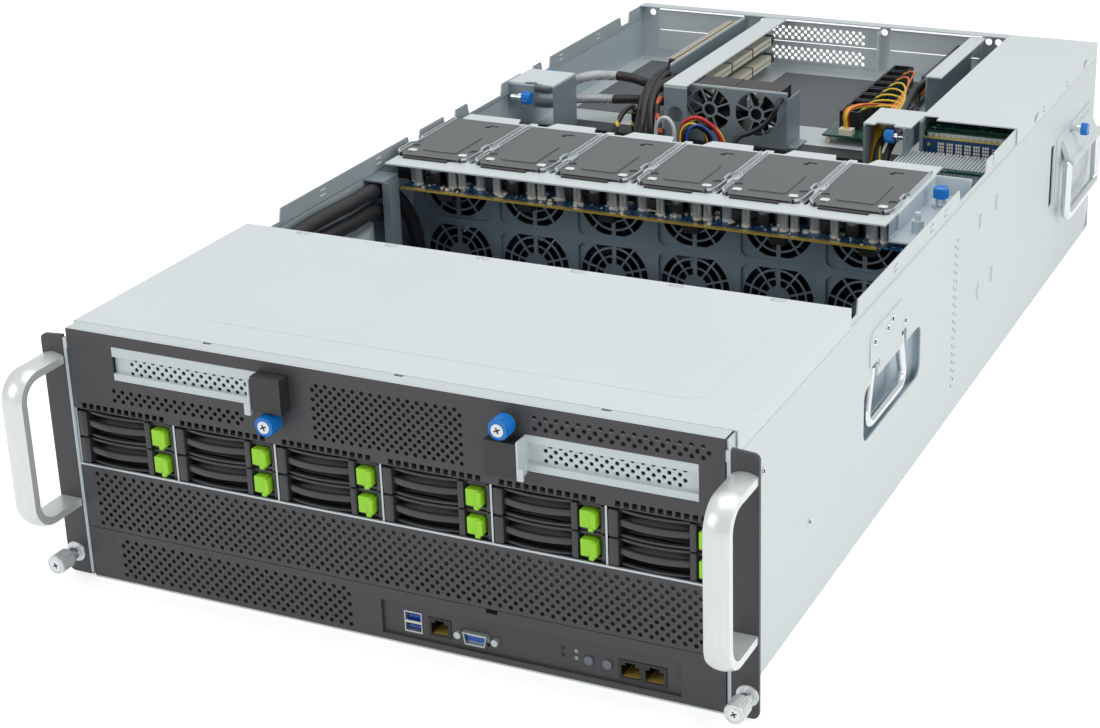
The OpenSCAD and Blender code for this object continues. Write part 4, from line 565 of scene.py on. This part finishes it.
def wiring():
    weave = braided_sleeve()
    rubber = speckled("black cable", tone(20, 20, 22), tone(38, 39, 42), 0.45, 0.0, 700, bump=0.1)
    banded = speckled("banded black cable", tone(22, 22, 24), tone(36, 37, 40), 0.45, 0.0, 700, bump=0.1)
    x, _, z = banded.xyz()
    banded.paint(((z + x) % (13 * MM)) < 3 * MM, tone(226, 190, 50), 0.4)
    orange_band = speckled("orange banded cable", tone(24, 24, 26), tone(38, 38, 40), 0.45, 0.0,
                           700, bump=0.1)
    orange_band.paint((orange_band.xyz()[2] % (11 * MM)) < 4 * MM, tone(214, 96, 50), 0.4)
    lace = speckled("white braid", tone(190, 194, 196), tone(226, 228, 228), 0.55, 0.0, 1500, bump=0.5)
    red, yellow = wire_finish("red", 186, 34, 30), wire_finish("yellow", 226, 190, 40)
    blue, orange = wire_finish("blue", 40, 74, 170), wire_finish("orange", 222, 120, 40)

    cables("braided_sleeves", [UPPER, LOWER, *LEFT_PAIR], weave, ["cable_sleeves"])
    cables("black_cables", [BUNDLE, RISER, BESIDE_RISER, BESIDE, NEAR, *FAN_LEADS,
                            shifted(BUNDLE, 2.6, 6.2, -4.6, 1), shifted(BUNDLE, 2.0, -4.4, -4.2, -2)], rubber)
    cables("banded_cables", [ARC], banded)
    cables("orange_banded_cables", [STRIPED], orange_band)
    cables("white_braid", [LOOP], lace)
    cables("red_wire", [FAR, shifted(HEADER, 0.7, 1.9, 0, 1.2)], red)
    cables("yellow_fan_out", [fan_out(k) for k in range(5)], yellow)
    cables("orange_fan_out", [fan_out(k) for k in range(5, 7)], orange)
    cables("yellow_wire", [shifted(FAR, 0.9, 2.6, 1.4, -1.6), HEADER,
                           shifted(NEAR, 0.8, -2.8, -2.2, 2.2)], yellow)
    cables("blue_wire", [shifted(NEAR, 1.0, 3.2, -2.4, 1.4)], blue)
    cables("orange_wire", [shifted(HEADER, 0.8, -2.2, 0.6, 1.0)], orange)


# ---------------------------------------------------------------- drive trays
tray_grey = speckled("tray plastic", tone(50, 50, 53), tone(66, 66, 70), 0.4, 0.0, 1400, bump=0.1)


def drive_tray(node):
    """A drive on its slides, with a slatted face and a coloured latch."""
    low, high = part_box(node)
    x, z = low.x / MM, low.z / MM
    right, top = high.x / MM, high.z / MM
    height = top - z
    plastic, shadow, latch, plated = range(4)
    back = 9                                      # where the face ends
    vent = (x + 6, x + 51)                        # between the pillars
    t = Piece(node + "_detail", tray_grey, black, lime, pale_zinc)
    t.block(x, x + 6.4, 0.4, back, z, top, plastic, 1.2, 3)                       # left pillar
    t.block(*vent, 2.4, 6, z + height * 0.40, z + height * 0.66, plastic, 1.1, 2, 3.6)
    t.block(*vent, 3.4, 6, top - 1.9, top - 0.1, plastic, 0.5, 2, 2.6)
    t.block(*vent, 3.4, 6, z + 0.1, z + 1.7, plastic, 0.5, 2, 2.6)
    t.block(x + 50.4, x + 54.6, 0.8, back, z, top, plastic, 0.8, 2)               # right pillar
    t.block(x + 5, right - 1, 8.4, 9.6, z + 0.2, top - 0.2, shadow)               # back of the vent
    t.block(x + 54.2, right, 3.4, back, z, z + 2.2, plastic, 0.4)
    t.block(x + 54.2, right, 3.4, back, top - 2.2, top, plastic, 0.4)
    t.block(right - 3, right, 2, back, z, top, plastic, 0.5)
    t.block(x + 56.4, x + 65.6, -0.4, 7.5, z + 3.2, z + 14.1, latch, 0.7, 3)
    t.block(x + 63.4, x + 67.2, -1.6, 7.5, z + 3.6, z + 13.4, latch, 0.7, 3)
    t.block(x + 62.2, x + 65.4, -1.6, 2, z + 1.7, z + 4.4, latch, 0.5, 2)
    for slide in (x + 0.1, right - 0.9):
        t.block(slide, slide + 0.8, 9.2, 150, z + 1, z + 15, plated)
    t.block(x + 0.9, right - 0.9, 34, 134, z + 1, z + 15.6, plated, 0.6)          # the drive
    t.finish(node, [node])


for name in sorted(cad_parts):
    if name.startswith("drive_tray"):
        drive_tray(name)


# ---------------------------------------------------------------- screws and knobs
# RECESS_SHADE draws the cross recesses in black moulding, as painted shade
STEEL, BLUE, RECESS_SHADE, BRIGHT = range(4)        # the finishes of the screw set


def knob(piece, face, way, radius, length, grip, collar, stem=10):
    """A knurled knob: face is where its collar meets the sheet, way points out of the sheet."""
    c, d = Vector(face), Vector(way)
    end = c + d * (collar + length)
    piece.rod(c - d * stem, c + d, radius * 0.42, BRIGHT, 24)
    piece.rod(c, c + d * collar, radius * 0.68, BRIGHT, 32, soft=0.4)
    piece.rod(c + d * (collar - 0.3), end, radius, grip, 56, ribs=0.07)
    piece.rod(end, c + d * (collar + length + 0.9), radius * 0.93, grip, 40, soft=0.4)


def cross_head(piece, centre, way, radius, face):
    """A flat screw face with a cross recess drawn as thin black bars: painted shade standing in for the
    slots.
    """
    c, d = Vector(centre), Vector(way)
    piece.rod(c, c + d * 0.7, radius, face, 32, soft=0.25)
    across = Vector((0, 0, 1)) if abs(d.z) < 0.5 else Vector((1, 0, 0))
    side = d.cross(across)
    for turn in (0.4, 0.4 + math.pi / 2):
        e = (across * math.cos(turn) + side * math.sin(turn)) * radius * 0.5
        piece.rod(c + d * 0.66 - e, c + d * 0.66 + e, radius * 0.13, RECESS_SHADE, 6)


def screws():
    k = Piece("screw_set", satin, blue_knob, black, chrome)
    forward, up = (0, -1, 0), (0, 0, 1)
    # captive screws of the ears
    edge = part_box("rack_ears")[1].x / MM
    x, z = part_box("thumbscrews")[1].x / MM - 6.6, 16
    for s in (-1, 1):
        k.rod((s * x, 0.1, z), (s * x, -0.8, z), min(7.4, edge - x), STEEL, 40, soft=0.3)
        knob(k, (s * x, -1, z), forward, 6.6, 10.5, STEEL, 9)
        cross_head(k, (s * x, -21.3, z), forward, 3.8, BRIGHT)
    # knobs of the slot brackets
    for cx, cz in ((-70, 138.5), (88, 163.5)):
        knob(k, (cx, 0, cz), forward, 6.7, 9, BLUE, 4)
        cross_head(k, (cx, -13.8, cz), forward, 4, STEEL)
    # the upright knob beside the fans, on its washer
    k.rod((205, 470, 155), (205, 470, 156.4), 6.2, BRIGHT, 32, soft=0.3)
    knob(k, (205, 470, 158), up, 5.8, 6, BLUE, 5, 3)
    # knobs of the inner brackets and of the rear side plates
    for place, way, radius, length in (((-206, 598, 163), 1, 5.6, 6), ((-210, 655, 167), 1, 5.6, 6),
                                       ((131, 601, 163), -1, 5.6, 6), ((-232, 800, 124), -1, 5.4, 4.5),
                                       ((232, 800, 124), 1, 5.4, 4.5)):
        knob(k, place, (way, 0, 0), radius, length, BLUE, 3.4, 8)
    # small screws of the side walls
    for s in (-1, 1):
        for y, z in ((254, 134.5), (282, 133.5), (292, 136.5), (321, 124.5)):
            cross_head(k, (s * 225, y, z), (s, 0, 0), 3, BRIGHT)
    for y, z in ((132, 61.5), (52, 132.6)):
        cross_head(k, (224, y, z), (1, 0, 0), 2.6, BRIGHT)
    k.finish("chassis", ["thumbscrews"])


screws()


# ---------------------------------------------------------------- wiring and small parts
wiring()


def fan_board_bits():
    """Small parts, blocks and cans scattered on the fan board between its capacitors."""
    cream, dark, can = range(3)
    bits = Piece("fan_board_bits", socket_white, black, fin, gold)
    low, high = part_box("fan_board")
    left, right, top = low.x / MM, high.x / MM, high.z / MM
    chips = ((1, 1.8, 0.7), (1.8, 1, 0.7), (2.6, 3.4, 1.6), (1.2, 2.2, 1), (4.4, 4, 1.4), (3, 2, 2))
    random.seed(11)
    for _ in range(330):
        x, y = random.uniform(left + 3, right - 12), random.uniform(388, 434)
        w, d, h = random.choice(chips)
        finish = random.choice((cream, cream, cream, dark, dark, can))
        bits.block(x, x + w, y, y + d, top - 0.05, top + h, finish)
    for i in range(6):
        middle = (i + 0.5) * COLUMN - FANS_LEFT
        for x, y in ((-33, 404), (-22, 401), (-2, 399), (9, 404)):
            bits.block(middle + x, middle + x + 9.5, y, y + 10, top, top + 9.5, dark, 0.5)
        for x, y in ((-9, 396), (20, 397), (27.4, 399)):
            bits.rod((middle + x, y, top), (middle + x, y, top + 2), 3.5, cream, 28, soft=0.3)
            bits.rod((middle + x, y, top + 1.9), (middle + x, y, top + 13.4), 3.3, can, 28, soft=0.7)
    bits.finish()


def retimer_bits():
    """Parts on the upright blue board behind the fins, and what shows of its partner above."""
    cream, _, plated, gilt, blue_board, green_board = range(6)
    bits = Piece("retimer_bits", socket_white, black, pale_zinc, gold, pcb_blue, pcb_green)
    face, raised = 625.6, 625.1
    bits.block(145.4, 217.6, 625.5, 626.02, 138.5, 157.4, blue_board)
    for group in range(6):
        for k in range(3):
            for row in range(4):
                x, z = 157 + 7.4 * group + 1.9 * k, 144.2 + 2.7 * row
                bits.block(x, x + 1.3, raised, face, z, z + 1.9, cream)
    for k in range(9):
        for row in range(5):
            x, z = 202 + 1.7 * k, 144.4 + 2 * row
            bits.block(x, x + 0.8, raised, face, z, z + 0.8, cream)
    bits.rod((149.4, face, 152), (149.4, raised, 152), 1.5, gilt, 20)
    bits.block(145, 218, 625.3, 628, 157.2, 158.2, gilt)
    bits.block(147, 216, 629, 633.4, 156.6, 161.2, plated, 0.3)
    for k in range(14):
        bits.block(149 + 4.8 * k, 150.6 + 4.8 * k, 628.6, 629.2, 158, 159.6, cream)
    bits.block(144.9, 218, 628.4, 633.6, 161.3, 162.5, green_board)
    bits.finish()


def left_riser_slots():
    """The long slot connectors along the top of the left riser."""
    dark, cream, gilt = range(3)
    slots = Piece("left_riser_slots", black, socket_white, gold)
    slots.block(-121.4, -114.4, 724, 870, 165.8, 172.6, dark, 0.5)
    for k in range(36):
        y = 727 + 4 * k
        slots.block(-119.6, -116.6, y, y + 1.8, 172.4, 172.9, cream)
    slots.block(-114.5, -113.9, 724, 872, 170.6, 173.2, gilt)
    for k in range(48):
        y = 725 + 3 * k
        slots.block(-121.9, -120.6, y, y + 1.5, 172.1, 172.7, cream)
    slots.block(-122.2, -121.2, 724, 872, 169.6, 172.2, cream)
    slots.finish()


fan_board_bits()
retimer_bits()
left_riser_slots()


# ---------------------------------------------------------------- studio
FLOOR_GLOW, ROOM_LIGHT = 0.55, 0.42


def straight_rays(make):
    """1 for rays that show the room itself: seen directly, in metal or through glass."""
    path = make("ShaderNodeLightPath").outputs
    tree = path[0].id_data
    socket = path["Is Camera Ray"]
    for name in ("Is Glossy Ray", "Is Transmission Ray"):
        either = make("ShaderNodeMath")
        either.operation = "MAXIMUM"
        tree.links.new(socket, either.inputs[0])
        tree.links.new(path[name], either.inputs[1])
        socket = either.outputs[0]
    return socket


def white_floor():
    """Paper that takes the shadow and glows so that it looks white, without lighting the object."""
    mesh = bpy.data.meshes.new("studio floor")
    form = bmesh.new()
    bmesh.ops.create_grid(form, x_segments=1, y_segments=1, size=9)
    form.to_mesh(mesh)
    form.free()
    floor = bpy.data.objects.new("studio_floor", mesh)
    floor.location.z = -0.0005
    bpy.context.scene.collection.objects.link(floor)

    paper = Finish("studio paper", (0.82, 0.82, 0.82), 0.9)
    nodes, links = paper.tree.nodes, paper.tree.links
    glow = nodes.new("ShaderNodeEmission")
    glow.inputs["Color"].default_value = (1, 1, 1, 1)
    glow.inputs["Strength"].default_value = FLOOR_GLOW
    both, share = nodes.new("ShaderNodeAddShader"), nodes.new("ShaderNodeMixShader")
    links.new(paper.shader.outputs[0], both.inputs[0])
    links.new(glow.outputs[0], both.inputs[1])
    links.new(straight_rays(nodes.new), share.inputs[0])
    links.new(paper.shader.outputs[0], share.inputs[1])
    links.new(both.outputs[0], share.inputs[2])
    links.new(share.outputs[0], nodes["Material Output"].inputs["Surface"])
    mesh.materials.append(paper.material)


def white_room():
    """White where it is seen, dimmer where it lights the object."""
    world = bpy.data.worlds.new("studio")
    bpy.context.scene.world = world
    world.use_nodes = True
    nodes, links = world.node_tree.nodes, world.node_tree.links
    room, seen = nodes["Background"], nodes.new("ShaderNodeBackground")
    room.inputs["Color"].default_value = (1, 1, 1, 1)
    room.inputs["Strength"].default_value = ROOM_LIGHT
    seen.inputs["Strength"].default_value = 1.0
    mix = nodes.new("ShaderNodeMixShader")
    links.new(straight_rays(nodes.new), mix.inputs[0])
    links.new(room.outputs[0], mix.inputs[1])
    links.new(seen.outputs[0], mix.inputs[2])
    links.new(mix.outputs[0], nodes["World Output"].inputs["Surface"])


def lamp(name, spot, aim, size, power):
    """A soft rectangular lamp that looks at aim."""
    data = bpy.data.lights.new(name, "AREA")
    data.shape, data.size, data.size_y, data.energy = "RECTANGLE", size[0], size[1], power
    made = bpy.data.objects.new(name, data)
    made.location = spot
    made.rotation_euler = (Vector(aim) - Vector(spot)).to_track_quat("-Z", "Y").to_euler()
    bpy.context.scene.collection.objects.link(made)


def studio():
    white_floor()
    white_room()
    lamp("overhead", (0.2, 0.1, 2.2), (0, 0, 0), (1.8, 2.2), 22)
    lamp("right", (2.2, -0.6, 1.0), (0.1, 0, 0.1), (1.6, 1.6), 16)
    lamp("front left", (-1.4, -2.2, 1.3), (0, -0.3, 0.1), (1.4, 1.4), 14)


def camera():
    """Above the right front corner, looking down along the body."""
    eye = (617.571, -991.616, 677.965)
    yaw, pitch, roll = (math.radians(a) for a in (23.9185, 21.6135, -1.0144))
    back = Vector((math.sin(yaw) * math.cos(pitch), -math.cos(yaw) * math.cos(pitch), math.sin(pitch)))
    level = (-back).cross(Vector((0, 0, 1))).normalized()
    above = level.cross(-back)
    right = level * math.cos(roll) + above * math.sin(roll)
    up = above * math.cos(roll) - level * math.sin(roll)
    data = bpy.data.cameras.new("camera")
    data.sensor_width = 36
    data.lens = 70.604
    data.shift_x, data.shift_y = -0.0909, -0.0545
    made = bpy.data.objects.new("camera", data)
    made.matrix_world = Matrix.Translation(at(*eye)) @ Matrix((right, up, back)).transposed().to_4x4()
    bpy.context.scene.collection.objects.link(made)
    bpy.context.scene.camera = made


camera()
studio()

bpy.context.scene.view_settings.view_transform = "Standard"
